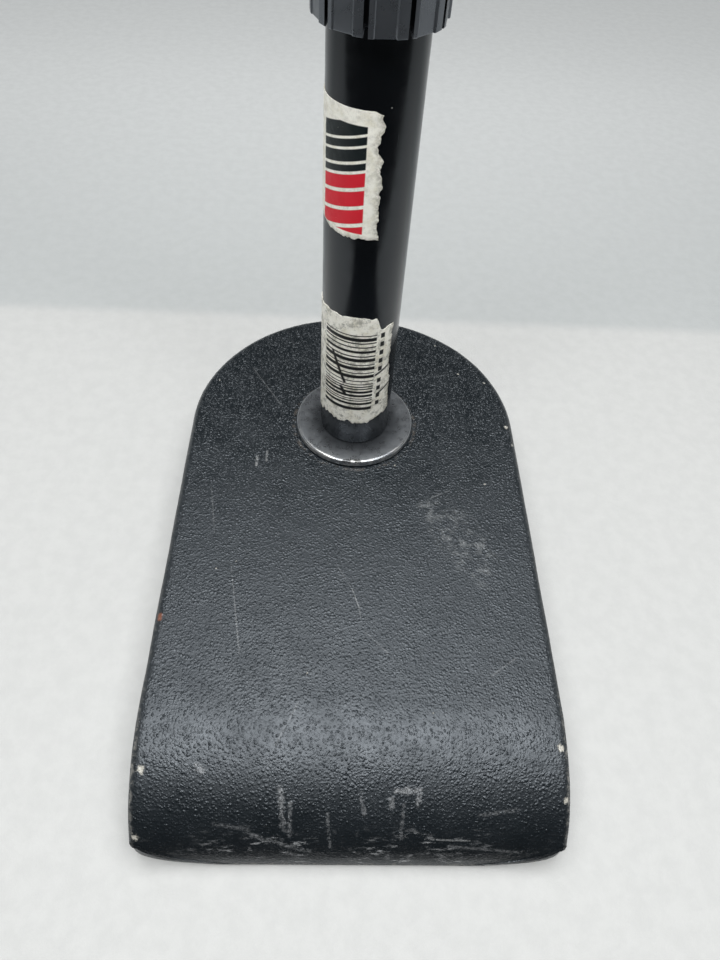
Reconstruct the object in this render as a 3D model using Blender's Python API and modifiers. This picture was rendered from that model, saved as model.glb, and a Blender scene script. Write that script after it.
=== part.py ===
"""Desktop microphone stand: a heavy cast base, a telescopic column and a twist clutch.

Units are metres, +Z is up. The origin is the centre of the footprint on the table.
The front of the base, with its long rounded edge, faces -Y. The column stands near the rear.
"""

import math

import bmesh
import bpy
import numpy as np
from mathutils import Matrix, Vector

MM = 0.001
GAP = 0.3 * MM  # room between two pieces that touch

# Base casting
BASE_WIDTH = 108 * MM
BASE_LENGTH = 184 * MM
BASE_TOP = 26 * MM
BASE_UNDERSIDE = 1 * MM
ROLL_LENGTH = 33 * MM  # the front edge is a quarter of an ellipse, this long
ROLL_DROP = 24.5 * MM  # and this high
FRONT_BOW = 27 * MM  # at each end the front edge bows back over this width
FRONT_CORNER = 4 * MM  # by this much, into the side
BOW_POWER = 2.5  # as a superellipse of this power
TOP_EDGE = 2.5 * MM
BOTTOM_EDGE = 0.8 * MM
RIM_WALL = 8 * MM
FRONT_WALL = 17 * MM
TOP_PLATE = 9 * MM

HALF_WIDTH = BASE_WIDTH / 2
FRONT_Y = -BASE_LENGTH / 2
REAR_CENTRE_Y = BASE_LENGTH / 2 - HALF_WIDTH  # the rear is a half circle about this point
POLE_Y = REAR_CENTRE_Y - 1.5 * MM  # and the column stands just ahead of it

# Rubber feet, pressed into recesses
FOOT_RADIUS = 6 * MM
FOOT_HEIGHT = 2.2 * MM
FOOT_EDGE = 0.5 * MM
FOOT_PAD = 9 * MM
FRONT_FOOT_X = 40 * MM
FRONT_FOOT_Y = FRONT_Y + 12 * MM
REAR_FOOT_REACH = 44 * MM

# Bolt stack under the base, M10
BOSS_RADIUS = 17 * MM
BOSS_BOTTOM = 14 * MM
BOLT_RADIUS = 5 * MM
BOLT_HOLE_RADIUS = 5.5 * MM
BOLT_HEAD = 6.4 * MM
BOLT_FLATS = 17 * MM
BOLT_LENGTH = 35 * MM
WASHER_RADIUS = 10 * MM
WASHER_THICKNESS = 2 * MM
LOCK_RADIUS = 9 * MM
LOCK_THICKNESS = 2.2 * MM

WASHER_TOP = BOSS_BOTTOM - GAP
LOCK_TOP = WASHER_TOP - WASHER_THICKNESS - GAP
HEAD_TOP = LOCK_TOP - LOCK_THICKNESS - GAP

# Column: 7/8 inch outer tube, 5/8 inch inner tube
TUBE_RADIUS = 11.1 * MM
TUBE_WALL = 1.2 * MM
TUBE_BORE = TUBE_RADIUS - TUBE_WALL
TUBE_TOP = 170 * MM
FLANGE_RADIUS = 19.2 * MM
FLANGE_THICKNESS = 2 * MM
FLANGE_EDGE = 0.9 * MM
FLANGE_BOTTOM = BASE_TOP + GAP
TUBE_BOTTOM = FLANGE_BOTTOM + FLANGE_THICKNESS + GAP
PLUG_TOP = 46 * MM
TUBE_CHAMFER = 0.3 * MM

MAST_RADIUS = 7.94 * MM
MAST_BORE = MAST_RADIUS - 1.2 * MM
MAST_TOP = 217 * MM
STAND_TOP = 229 * MM
GUIDE_BORE = 8.3 * MM  # every fixed bore that the inner tube slides through
COLLAR_BOTTOM = PLUG_TOP + GAP
COLLAR_TOP = COLLAR_BOTTOM + 10 * MM
COLLAR_RADIUS = TUBE_BORE - 0.35 * MM
SPIGOT_RADIUS = MAST_BORE - GAP
SPIGOT_LENGTH = 12 * MM
INSERT_BORE = 3.5 * MM
THREAD_CHAMFER = 0.8 * MM

# Twist clutch
GRIP_BOTTOM = 148 * MM
GRIP_TOP = 198 * MM
GRIP_RADIUS = 14.3 * MM
GRIP_BORE = 11.5 * MM
GRIP_MOUTH = 13.9 * MM  # the bore flares to this at the lower end
GRIP_FLARE = 2.9 * MM
GRIP_CHAMFER = 0.4 * MM
SHOULDER_BORE = 8.8 * MM
FLUTES = 10
FLUTE_FLOOR = 13.0 * MM
FLUTE_FLOOR_HALF = 1.1 * MM
FLUTE_MOUTH_HALF = 2.4 * MM
FLUTE_TOP = GRIP_TOP - 6 * MM
FLUTE_TURN = math.radians(-87.0)
FERRULE_SPIGOT = 158.5 * MM
FERRULE_TOP = 190 * MM
SEAT_BOTTOM = 182 * MM
SEAT_LOW_RADIUS = 9.2 * MM
SEAT_HIGH_RADIUS = 10.5 * MM
COLLET_TOP = 192 * MM
COLLET_SLOT = 0.8 * MM
THRUST_BOTTOM = COLLET_TOP + GAP
THRUST_TOP = THRUST_BOTTOM + 1.2 * MM
SHOULDER_BOTTOM = THRUST_TOP + GAP
DUST_RECESS = 196.3 * MM
DUST_RADIUS = 11.0 * MM
DUST_TOP = 198.6 * MM

# Paper labels wrapped part of the way round the outer tube
LABEL_THICKNESS = 0.2 * MM
LABEL_RADIUS = TUBE_RADIUS + 0.15 * MM
FRONT_ANGLE = -90.0  # the direction of the base's front, seen from above, in degrees

FINE = 60  # facets round the parts that show
PLAIN = 32  # and round the parts inside


def material(name, color, roughness, metallic):
    """A Principled material."""
    made = bpy.data.materials.new(name)
    made.use_nodes = True
    shader = made.node_tree.nodes["Principled BSDF"]
    shader.inputs["Base Color"].default_value = (*color, 1.0)
    shader.inputs["Roughness"].default_value = roughness
    shader.inputs["Metallic"].default_value = metallic
    return made


def collection(name):
    """A new collection in the scene."""
    made = bpy.data.collections.new(name)
    bpy.context.scene.collection.children.link(made)
    return made


def place(name, mesh, group, look=None, parent=None):
    """An object for a mesh, in a collection, with its material and parent."""
    made = bpy.data.objects.new(name, mesh)
    group.objects.link(made)
    if look is not None:
        mesh.materials.append(look)
    made.parent = parent
    return made


def as_cutter(piece):
    """Hides a shape that only cuts others."""
    piece.hide_render = True
    piece.display_type = "WIRE"
    return piece


def axis_empty(name, group):
    """An empty on the column's axis: the joints' axes run through it."""
    made = bpy.data.objects.new(name, None)
    group.objects.link(made)
    made.location = (0.0, POLE_Y, 0.0)
    return made


def turned(name, profile, closed, steps, group, look=None, parent=None):
    """A turned piece: a profile of (radius, height) points swept round Z.

    The profile runs down its outer side. A closed one makes a ring, an open one starts and
    ends on the axis.
    """
    mesh = bpy.data.meshes.new(name)
    points = [(radius, 0.0, height) for radius, height in profile]
    edges = [(i, i + 1) for i in range(len(points) - 1)]
    if closed:
        edges.append((len(points) - 1, 0))
    mesh.from_pydata(points, edges, [])
    piece = place(name, mesh, group, look, parent)
    screw = piece.modifiers.new("Turn", "SCREW")
    screw.axis = "Z"
    screw.steps = steps
    screw.render_steps = steps
    screw.use_merge_vertices = True
    screw.merge_threshold = 0.00001
    screw.use_smooth_shade = True
    return piece


def ring(name, inner, outer, bottom, top, edge, steps, group, look, parent):
    """A plain ring or tube with its four rims chamfered, or left square where edge is 0."""
    if edge == 0:
        square = [(inner, top), (outer, top), (outer, bottom), (inner, bottom)]
        return turned(name, square, True, steps, group, look, parent)
    profile = [
        (inner + edge, top),
        (outer - edge, top),
        (outer, top - edge),
        (outer, bottom + edge),
        (outer - edge, bottom),
        (inner + edge, bottom),
        (inner, bottom + edge),
        (inner, top - edge),
    ]
    return turned(name, profile, True, steps, group, look, parent)


def cylinder(name, radius, bottom, top, at, group, facets=PLAIN):
    """An upright cylinder."""
    mesh = bpy.data.meshes.new(name)
    shape = bmesh.new()
    bmesh.ops.create_cone(
        shape, cap_ends=True, segments=facets, radius1=radius, radius2=radius, depth=top - bottom
    )
    shape.to_mesh(mesh)
    shape.free()
    piece = place(name, mesh, group)
    piece.location = (at[0], at[1], (bottom + top) / 2)
    return piece


def box(name, size, middle, group):
    """A box of a full size, about its middle."""
    mesh = bpy.data.meshes.new(name)
    shape = bmesh.new()
    bmesh.ops.create_cube(shape, size=1.0, matrix=Matrix.Diagonal((*size, 1.0)))
    shape.to_mesh(mesh)
    shape.free()
    piece = place(name, mesh, group)
    piece.location = middle
    return piece


def prism(name, outlines, bottom, top, group):
    """A mesh solid between two heights, over one or more flat closed outlines."""
    curve = bpy.data.curves.new(name, "CURVE")
    curve.dimensions = "2D"
    curve.fill_mode = "BOTH"
    curve.extrude = (top - bottom) / 2
    for outline in outlines:
        spline = curve.splines.new("POLY")
        spline.points.add(len(outline) - 1)
        for point, (x, y) in zip(spline.points, outline):
            point.co = (x, y, 0.0, 1.0)
        spline.use_cyclic_u = True
    drawn = bpy.data.objects.new(name + "_curve", curve)
    group.objects.link(drawn)
    drawn.location = (0.0, 0.0, (bottom + top) / 2)
    bpy.context.view_layer.update()
    evaluated = drawn.evaluated_get(bpy.context.evaluated_depsgraph_get())
    mesh = bpy.data.meshes.new_from_object(evaluated)
    shape = bmesh.new()
    shape.from_mesh(mesh)
    bmesh.ops.remove_doubles(shape, verts=shape.verts, dist=0.00001)
    shape.to_mesh(mesh)
    shape.free()
    piece = place(name, mesh, group)
    piece.matrix_world = drawn.matrix_world.copy()
    bpy.data.objects.remove(drawn)
    return piece


def boolean(piece, operation, other):
    """Cuts, joins or intersects a piece with another."""
    step = piece.modifiers.new(operation.capitalize(), "BOOLEAN")
    step.operation = operation
    step.solver = "EXACT"
    step.object = other


def arc(centre, radius, start, end, steps):
    """Points along an arc, with angles in degrees, both ends included."""
    angles = [math.radians(start + (end - start) * i / steps) for i in range(steps + 1)]
    return [(centre[0] + radius * math.cos(a), centre[1] + radius * math.sin(a)) for a in angles]


# ---------------------------------------------------------------------------------------------
# The base
# ---------------------------------------------------------------------------------------------

def roll_point(turn, inset):
    """A point of the top's long section, and its normal, as (y, z), inset under the skin.

    A turn of 0 is the foot of the front edge and 90 degrees is where the flat top begins.
    """
    y = FRONT_Y + ROLL_LENGTH * (1 - math.cos(turn))
    z = BASE_TOP - ROLL_DROP * (1 - math.sin(turn))
    normal = Vector((-math.cos(turn) / ROLL_LENGTH, math.sin(turn) / ROLL_DROP)).normalized()
    return y - inset * normal.x, z - inset * normal.y, normal


def skin_at(y):
    """The height of the line TOP_EDGE under the top skin at a given y, and the skin's normal."""
    turns = np.linspace(0.0, math.pi / 2, 200)
    places = [roll_point(turn, TOP_EDGE)[0] for turn in turns]
    turn = float(np.interp(y, places, turns))
    _, z, normal = roll_point(turn, TOP_EDGE)
    return z, normal


def base_outline():
    """The base's plan as (x, y, angle of the outward normal), right half then left half."""
    half = []
    bow_steps = 9
    for i in range(bow_steps + 1):
        across = math.sin(math.pi / 2 * i / bow_steps) ** (2 / BOW_POWER)
        along = math.cos(math.pi / 2 * i / bow_steps) ** (2 / BOW_POWER)
        x = HALF_WIDTH - FRONT_BOW + FRONT_BOW * across
        y = FRONT_Y + FRONT_CORNER * (1 - along)
        normal_x = across ** (BOW_POWER - 1) / FRONT_BOW
        normal_y = -(along ** (BOW_POWER - 1)) / FRONT_CORNER
        half.append((x, y, math.atan2(normal_y, normal_x)))
    for turn in range(20, 91, 7):
        half.append((HALF_WIDTH, roll_point(math.radians(turn), TOP_EDGE)[0], 0.0))
    rear_steps = 15
    for i in range(rear_steps + 1):
        angle = math.pi / 2 * i / rear_steps
        x = HALF_WIDTH * math.cos(angle)
        half.append((x, REAR_CENTRE_Y + HALF_WIDTH * math.sin(angle), angle))
    other = [(-x, y, math.pi - angle) for x, y, angle in reversed(half[:-1])]
    return half + other


def base_body():
    """The outside of the casting: the hull of its rounded top edge and its lower edge."""
    mesh = bpy.data.meshes.new("base_casting")
    shape = bmesh.new()
    edge_steps = 3
    for x, y, angle in base_outline():
        out = Vector((math.cos(angle), math.sin(angle), 0.0))
        centre = Vector((x, y, 0.0)) - out * TOP_EDGE
        centre.z, normal = skin_at(centre.y)
        up = Vector((0.0, normal.x, normal.y))
        for i in range(edge_steps + 1):
            shape.verts.new(centre + out.slerp(up, i / edge_steps) * TOP_EDGE)
        foot = Vector((x, y, BASE_UNDERSIDE + BOTTOM_EDGE))
        if foot.z < centre.z:
            shape.verts.new(foot)
        shape.verts.new((x - out.x * BOTTOM_EDGE, y - out.y * BOTTOM_EDGE, BASE_UNDERSIDE))
    bmesh.ops.remove_doubles(shape, verts=shape.verts, dist=0.00002)
    hull = bmesh.ops.convex_hull(shape, input=shape.verts)
    spare = [item for item in hull["geom_interior"] if isinstance(item, bmesh.types.BMVert)]
    bmesh.ops.delete(shape, geom=spare, context="VERTS")
    bmesh.ops.recalc_face_normals(shape, faces=shape.faces)
    shape.to_mesh(mesh)
    shape.free()
    mesh.shade_smooth()
    mesh.set_sharp_from_angle(angle=math.radians(40))
    return mesh


def foot_places():
    """Each foot's name and plan position."""
    reach = REAR_FOOT_REACH * math.sqrt(0.5)
    return {
        "foot_front_left": (-FRONT_FOOT_X, FRONT_FOOT_Y),
        "foot_front_right": (FRONT_FOOT_X, FRONT_FOOT_Y),
        "foot_rear_left": (-reach, REAR_CENTRE_Y + reach),
        "foot_rear_right": (reach, REAR_CENTRE_Y + reach),
    }


def pocket_cutter(group):
    """The hollow under the base, which leaves the bolt's boss and the rear feet's pads."""
    radius = HALF_WIDTH - RIM_WALL
    corner = 8 * MM
    front = FRONT_Y + FRONT_WALL
    outline = arc((radius - corner, front + corner), corner, -90, 0, 5)
    outline += arc((0.0, REAR_CENTRE_Y), radius, 0, 180, 30)
    outline += arc((corner - radius, front + corner), corner, 180, 270, 5)
    pocket = as_cutter(prism("pocket", [outline], -MM, BASE_TOP - TOP_PLATE, group))
    boss = cylinder("boss", BOSS_RADIUS, BOSS_BOTTOM, BASE_TOP, (0.0, POLE_Y), group)
    boolean(pocket, "DIFFERENCE", as_cutter(boss))
    for name, spot in foot_places().items():
        if "rear" in name:
            pad = cylinder(name + "_pad", FOOT_PAD, -2 * MM, BASE_TOP, spot, group)
            boolean(pocket, "DIFFERENCE", as_cutter(pad))
    return pocket


def build_base(group, cutters, looks):
    """The casting with its hollow, bolt hole and foot recesses, and the four feet."""
    casting = place("base_casting", base_body(), group, looks["cast"])
    boolean(casting, "DIFFERENCE", pocket_cutter(cutters))
    hole = cylinder("bolt_hole", BOLT_HOLE_RADIUS, 0.0, 30 * MM, (0.0, POLE_Y), cutters)
    boolean(casting, "DIFFERENCE", as_cutter(hole))
    for name, spot in foot_places().items():
        recess = cylinder(
            name + "_recess", FOOT_RADIUS + GAP, -MM, FOOT_HEIGHT + GAP, spot, cutters, 24
        )
        boolean(casting, "DIFFERENCE", as_cutter(recess))
        inner = FOOT_RADIUS - FOOT_EDGE
        profile = [
            (0.0, FOOT_HEIGHT),
            (FOOT_RADIUS, FOOT_HEIGHT),
            (FOOT_RADIUS, FOOT_EDGE),
            (inner, 0.0),
            (0.0, 0.0),
        ]
        foot = turned(name, profile, False, 24, group, looks["rubber"])
        foot.location = (*spot, 0.0)


# ---------------------------------------------------------------------------------------------
# The bolt stack that holds the column
# ---------------------------------------------------------------------------------------------

def build_bolt_stack(group, cutters, looks, column):
    """Bolt, lock washer and flat washer under the base, flange washer and plug above it."""
    head_bottom = HEAD_TOP - BOLT_HEAD
    bolt = turned(
        "base_bolt",
        [
            (0.0, HEAD_TOP + BOLT_LENGTH),
            (BOLT_RADIUS - MM, HEAD_TOP + BOLT_LENGTH),
            (BOLT_RADIUS, HEAD_TOP + BOLT_LENGTH - MM),
            (BOLT_RADIUS, HEAD_TOP - MM),
            (0.0, HEAD_TOP - MM),
        ],
        False, PLAIN, group, looks["zinc"], column,
    )
    corner_radius = BOLT_FLATS / math.sqrt(3)
    head = cylinder("bolt_head", corner_radius, head_bottom, HEAD_TOP, (0.0, POLE_Y), cutters, 6)
    dome = turned(
        "bolt_head_dome",
        [
            (0.0, HEAD_TOP + MM),
            (corner_radius + MM, HEAD_TOP + MM),
            (corner_radius + MM, head_bottom + 1.2 * MM),
            (BOLT_FLATS / 2 - 0.4 * MM, head_bottom - 0.1 * MM),
            (0.0, head_bottom - 0.1 * MM),
        ],
        False, PLAIN, cutters, parent=column,
    )
    boolean(head, "INTERSECT", as_cutter(dome))
    boolean(bolt, "UNION", as_cutter(head))

    lock_bottom = LOCK_TOP - LOCK_THICKNESS
    lock = ring(
        "base_lock_washer", BOLT_HOLE_RADIUS, LOCK_RADIUS, lock_bottom, LOCK_TOP, 0.2 * MM,
        PLAIN, group, looks["zinc"], column,
    )
    split_size = (LOCK_RADIUS, 1.2 * MM, 3 * LOCK_THICKNESS)
    middle = (LOCK_RADIUS, POLE_Y, LOCK_TOP - LOCK_THICKNESS / 2)
    split = box("lock_split", split_size, middle, cutters)
    split.rotation_euler.x = math.radians(25)
    boolean(lock, "DIFFERENCE", as_cutter(split))

    ring(
        "base_flat_washer", BOLT_HOLE_RADIUS, WASHER_RADIUS, WASHER_TOP - WASHER_THICKNESS,
        WASHER_TOP, 0.2 * MM, PLAIN, group, looks["zinc"], column,
    )

    flange_top = FLANGE_BOTTOM + FLANGE_THICKNESS
    rim = arc((FLANGE_RADIUS - FLANGE_EDGE, flange_top - FLANGE_EDGE), FLANGE_EDGE, 90, 0, 3)
    flange = [(BOLT_HOLE_RADIUS, flange_top)] + rim
    flange += [
        (FLANGE_RADIUS, FLANGE_BOTTOM + 0.2 * MM),
        (FLANGE_RADIUS - 0.2 * MM, FLANGE_BOTTOM),
        (BOLT_HOLE_RADIUS, FLANGE_BOTTOM),
    ]
    turned("flange_washer", flange, True, FINE, group, looks["flange"], column)

    ring(
        "tube_plug", BOLT_RADIUS + GAP, TUBE_BORE - GAP, TUBE_BOTTOM, PLUG_TOP, 0,
        PLAIN, group, looks["zinc"], column,
    )


# ---------------------------------------------------------------------------------------------
# The column
# ---------------------------------------------------------------------------------------------

def build_column(group, looks, column, mast):
    """Outer tube, inner tube, its guide bush and the threaded end for a microphone holder."""
    ring(
        "outer_tube", TUBE_BORE, TUBE_RADIUS, TUBE_BOTTOM, TUBE_TOP, TUBE_CHAMFER,
        FINE, group, looks["gloss"], column,
    )
    bush = [
        (INSERT_BORE, COLLAR_TOP + SPIGOT_LENGTH),
        (SPIGOT_RADIUS, COLLAR_TOP + SPIGOT_LENGTH),
        (SPIGOT_RADIUS, COLLAR_TOP),
        (COLLAR_RADIUS, COLLAR_TOP),
        (COLLAR_RADIUS, COLLAR_BOTTOM),
        (INSERT_BORE, COLLAR_BOTTOM),
    ]
    turned("guide_bush", bush, True, PLAIN, group, looks["nylon"], mast)
    ring(
        "inner_tube", MAST_BORE, MAST_RADIUS, COLLAR_TOP + GAP, MAST_TOP, TUBE_CHAMFER,
        FINE, group, looks["gloss"], mast,
    )
    thread_bottom = MAST_TOP + GAP
    end = [
        (INSERT_BORE, STAND_TOP),
        (MAST_RADIUS - THREAD_CHAMFER, STAND_TOP),
        (MAST_RADIUS, STAND_TOP - THREAD_CHAMFER),
        (MAST_RADIUS, thread_bottom),
        (SPIGOT_RADIUS, thread_bottom),
        (SPIGOT_RADIUS, MAST_TOP - SPIGOT_LENGTH),
        (INSERT_BORE, MAST_TOP - SPIGOT_LENGTH),
    ]
    turned("threaded_end", end, True, PLAIN, group, looks["zinc"], mast)


# ---------------------------------------------------------------------------------------------
# The twist clutch
# ---------------------------------------------------------------------------------------------

def flute_cutter(group):
    """Ten trapezoid prisms that cut the grip's flutes."""
    outer = GRIP_RADIUS + 2 * MM
    slope = (FLUTE_MOUTH_HALF - FLUTE_FLOOR_HALF) / (GRIP_RADIUS - FLUTE_FLOOR)
    outer_half = FLUTE_FLOOR_HALF + slope * (outer - FLUTE_FLOOR)
    section = [
        Vector((FLUTE_FLOOR, -FLUTE_FLOOR_HALF)),
        Vector((outer, -outer_half)),
        Vector((outer, outer_half)),
        Vector((FLUTE_FLOOR, FLUTE_FLOOR_HALF)),
    ]
    outlines = []
    for i in range(FLUTES):
        turn = Matrix.Rotation(FLUTE_TURN + math.tau * i / FLUTES, 2)
        points = [turn @ point for point in section]
        outlines.append([(point.x, point.y + POLE_Y) for point in points])
    return as_cutter(prism("flutes", outlines, GRIP_BOTTOM - MM, FLUTE_TOP, group))


def build_clutch(group, cutters, looks, column, grip_axis):
    """Ferrule and split collet on the tube, thrust washer, fluted grip and dust ring."""
    ferrule = [
        (SEAT_HIGH_RADIUS, FERRULE_TOP),
        (TUBE_RADIUS, FERRULE_TOP),
        (TUBE_RADIUS, TUBE_TOP + GAP),
        (TUBE_BORE - GAP, TUBE_TOP + GAP),
        (TUBE_BORE - GAP, FERRULE_SPIGOT),
        (GUIDE_BORE, FERRULE_SPIGOT),
        (GUIDE_BORE, SEAT_BOTTOM),
        (SEAT_LOW_RADIUS, SEAT_BOTTOM),
    ]
    turned("clutch_ferrule", ferrule, True, PLAIN, group, looks["zinc"], column)

    collet_bottom = SEAT_BOTTOM + GAP
    collet = [
        (GUIDE_BORE, COLLET_TOP),
        (SEAT_HIGH_RADIUS - GAP, COLLET_TOP),
        (SEAT_HIGH_RADIUS - GAP, FERRULE_TOP),
        (SEAT_LOW_RADIUS - GAP, collet_bottom),
        (GUIDE_BORE, collet_bottom),
    ]
    piece = turned("clutch_collet", collet, True, PLAIN, group, looks["nylon"], column)
    slot_height = COLLET_TOP - collet_bottom
    for i in range(2):
        size = (4 * MAST_RADIUS, COLLET_SLOT, slot_height)
        middle = (0.0, POLE_Y, collet_bottom + 1.5 * MM + slot_height / 2)
        slot = box(f"collet_slot_{i + 1}", size, middle, cutters)
        slot.rotation_euler.z = math.radians(45 + 90 * i)
        boolean(piece, "DIFFERENCE", as_cutter(slot))

    ring(
        "thrust_washer", SHOULDER_BORE, TUBE_RADIUS, THRUST_BOTTOM, THRUST_TOP, 0,
        PLAIN, group, looks["brass"], grip_axis,
    )

    grip = [
        (DUST_RADIUS + GAP, GRIP_TOP),
        (GRIP_RADIUS - MM, GRIP_TOP),
        (GRIP_RADIUS, GRIP_TOP - MM),
        (GRIP_RADIUS, GRIP_BOTTOM + GRIP_CHAMFER),
        (GRIP_RADIUS - GRIP_CHAMFER / 2, GRIP_BOTTOM),
        (GRIP_MOUTH, GRIP_BOTTOM),
        (GRIP_BORE, GRIP_BOTTOM + GRIP_FLARE),
        (GRIP_BORE, SHOULDER_BOTTOM),
        (SHOULDER_BORE, SHOULDER_BOTTOM),
        (SHOULDER_BORE, DUST_RECESS),
        (DUST_RADIUS + GAP, DUST_RECESS),
    ]
    piece = turned("clutch_grip", grip, True, FINE, group, looks["grip"], grip_axis)
    boolean(piece, "DIFFERENCE", flute_cutter(cutters))

    ring(
        "dust_ring", MAST_RADIUS + 0.5 * MM, DUST_RADIUS, DUST_RECESS + GAP, DUST_TOP, 0.4 * MM,
        FINE, group, looks["rubber"], grip_axis,
    )


# ---------------------------------------------------------------------------------------------
# The labels
# ---------------------------------------------------------------------------------------------

def build_label(name, start, end, bottom, top, group, look, column):
    """A paper label: an upright line swept round the tube between two angles off the front."""
    mesh = bpy.data.meshes.new(name)
    mesh.from_pydata([(LABEL_RADIUS, 0.0, top), (LABEL_RADIUS, 0.0, bottom)], [(0, 1)], [])
    piece = place(name, mesh, group, look, column)
    piece.rotation_euler.z = math.radians(FRONT_ANGLE + start)
    screw = piece.modifiers.new("Wrap", "SCREW")
    screw.axis = "Z"
    screw.angle = math.radians(end - start)
    screw.steps = round((end - start) / 6)
    screw.render_steps = screw.steps
    screw.use_merge_vertices = False
    shell = piece.modifiers.new("Paper", "SOLIDIFY")
    shell.thickness = LABEL_THICKNESS
    shell.offset = 1.0


def main():
    for old in list(bpy.data.objects):
        bpy.data.objects.remove(old)
    stand = collection("desktop_mic_stand")
    cutters = collection("cutters")
    looks = {
        "cast": material("cast_iron_black", (0.022, 0.023, 0.026), 0.55, 0.0),
        "gloss": material("tube_black", (0.012, 0.013, 0.015), 0.18, 0.0),
        "grip": material("grip_black", (0.014, 0.015, 0.018), 0.3, 0.0),
        "flange": material("flange_gunmetal", (0.13, 0.13, 0.135), 0.35, 0.9),
        "zinc": material("zinc_steel", (0.45, 0.45, 0.44), 0.35, 1.0),
        "brass": material("brass", (0.6, 0.42, 0.16), 0.3, 1.0),
        "nylon": material("white_nylon", (0.75, 0.74, 0.7), 0.5, 0.0),
        "rubber": material("black_rubber", (0.02, 0.02, 0.02), 0.8, 0.0),
        "paper": material("label_paper", (0.72, 0.7, 0.62), 0.6, 0.0),
    }
    column = axis_empty("column_axis", stand)
    grip_axis = axis_empty("clutch_axis", stand)
    mast = axis_empty("mast_axis", stand)
    build_base(stand, cutters, looks)
    build_bolt_stack(stand, cutters, looks, column)
    build_column(stand, looks, column, mast)
    build_clutch(stand, cutters, looks, column, grip_axis)
    build_label("upper_label", -102, 12, 102.5 * MM, 133.5 * MM, stand, looks["paper"], column)
    build_label("lower_label", -108, 60, 36.5 * MM, 79 * MM, stand, looks["paper"], column)


main()
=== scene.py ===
"""The looks of a desktop microphone stand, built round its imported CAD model.

Every length below is in millimetres and is turned into metres as a mesh is made. The frame is
the CAD model's: +Z up, the origin under the base, the base's long rounded front facing -Y.
"""

import math
import random

import bmesh
import bpy
import numpy as np
from mathutils import Matrix, Vector, noise


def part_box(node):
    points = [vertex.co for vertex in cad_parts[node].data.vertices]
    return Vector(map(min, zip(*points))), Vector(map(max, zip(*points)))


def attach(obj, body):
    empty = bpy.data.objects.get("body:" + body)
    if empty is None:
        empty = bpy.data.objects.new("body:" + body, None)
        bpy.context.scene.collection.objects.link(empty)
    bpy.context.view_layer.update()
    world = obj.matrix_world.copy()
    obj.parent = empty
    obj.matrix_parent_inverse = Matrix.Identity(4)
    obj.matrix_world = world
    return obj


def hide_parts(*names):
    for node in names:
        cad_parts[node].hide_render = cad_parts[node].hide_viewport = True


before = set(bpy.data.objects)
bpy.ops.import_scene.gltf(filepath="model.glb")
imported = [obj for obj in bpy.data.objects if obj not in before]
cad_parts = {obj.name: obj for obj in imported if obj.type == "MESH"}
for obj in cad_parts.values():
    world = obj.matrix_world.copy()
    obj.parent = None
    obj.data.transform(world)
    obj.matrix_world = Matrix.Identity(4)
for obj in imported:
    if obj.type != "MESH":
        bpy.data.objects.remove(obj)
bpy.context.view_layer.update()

MM = 0.001


def corners(node):
    """A CAD node's lowest and highest corner, in millimetres."""
    low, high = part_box(node)
    return low / MM, high / MM


# ---- Sizes, from the CAD nodes' boxes and from the same driving dimensions ----

BASE_LOW, BASE_HIGH = corners("base_casting")
HALF_WIDTH = BASE_HIGH.x
FRONT_Y = BASE_LOW.y
REAR_CENTRE_Y = BASE_HIGH.y - HALF_WIDTH
UNDERSIDE = BASE_LOW.z
BASE_TOP = BASE_HIGH.z
ROLL_LENGTH = 33.0   # the rounded front runs this far back and drops this far
ROLL_DROP = 24.5
FRONT_BOW = 27.0     # the front corners' size across and along, and how square they are
FRONT_CORNER = 4.0
BOW_POWER = 2.5
CORNER_SHARE = 0.72  # how far along a front corner its side begins
TOP_EDGE = 2.5       # the roundings of the top and bottom edges
BOTTOM_EDGE = 0.8
RIM_WALL = 8.0
FRONT_WALL = 17.0
TOP_PLATE = 9.0
BOSS_RADIUS = 17.0
BOSS_BOTTOM = 14.0
FOOT_PAD = 9.0
BOLT_HOLE = 5.5

TUBE_LOW, TUBE_HIGH = corners("outer_tube")
TUBE_RADIUS = TUBE_HIGH.x
TUBE_BORE = 9.9
POLE_Y = (TUBE_LOW.y + TUBE_HIGH.y) / 2
COLUMN = (0.0, POLE_Y)
MAST_LOW, MAST_HIGH = corners("inner_tube")
MAST_RADIUS = MAST_HIGH.x
MAST_BORE = 6.74
INSERT_BORE = 3.5
THREAD_LOW, THREAD_HIGH = corners("threaded_end")
FLANGE_LOW, FLANGE_HIGH = corners("flange_washer")
GRIP_LOW, GRIP_HIGH = corners("clutch_grip")
DUST_LOW, DUST_HIGH = corners("dust_ring")

INCH = 25.4
GAP = 0.3        # between a piece and the one round it or beside it
EASED = 0.25     # the rounding of small rings
RING_STEPS = 96  # the points round a small ring
WELD = 0.002     # points closer than this are joined


# ---- Materials ----

COOL_SHINE = (0.86, 0.93, 1.0, 1.0)  # the tint of the black paints' reflections


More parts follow.
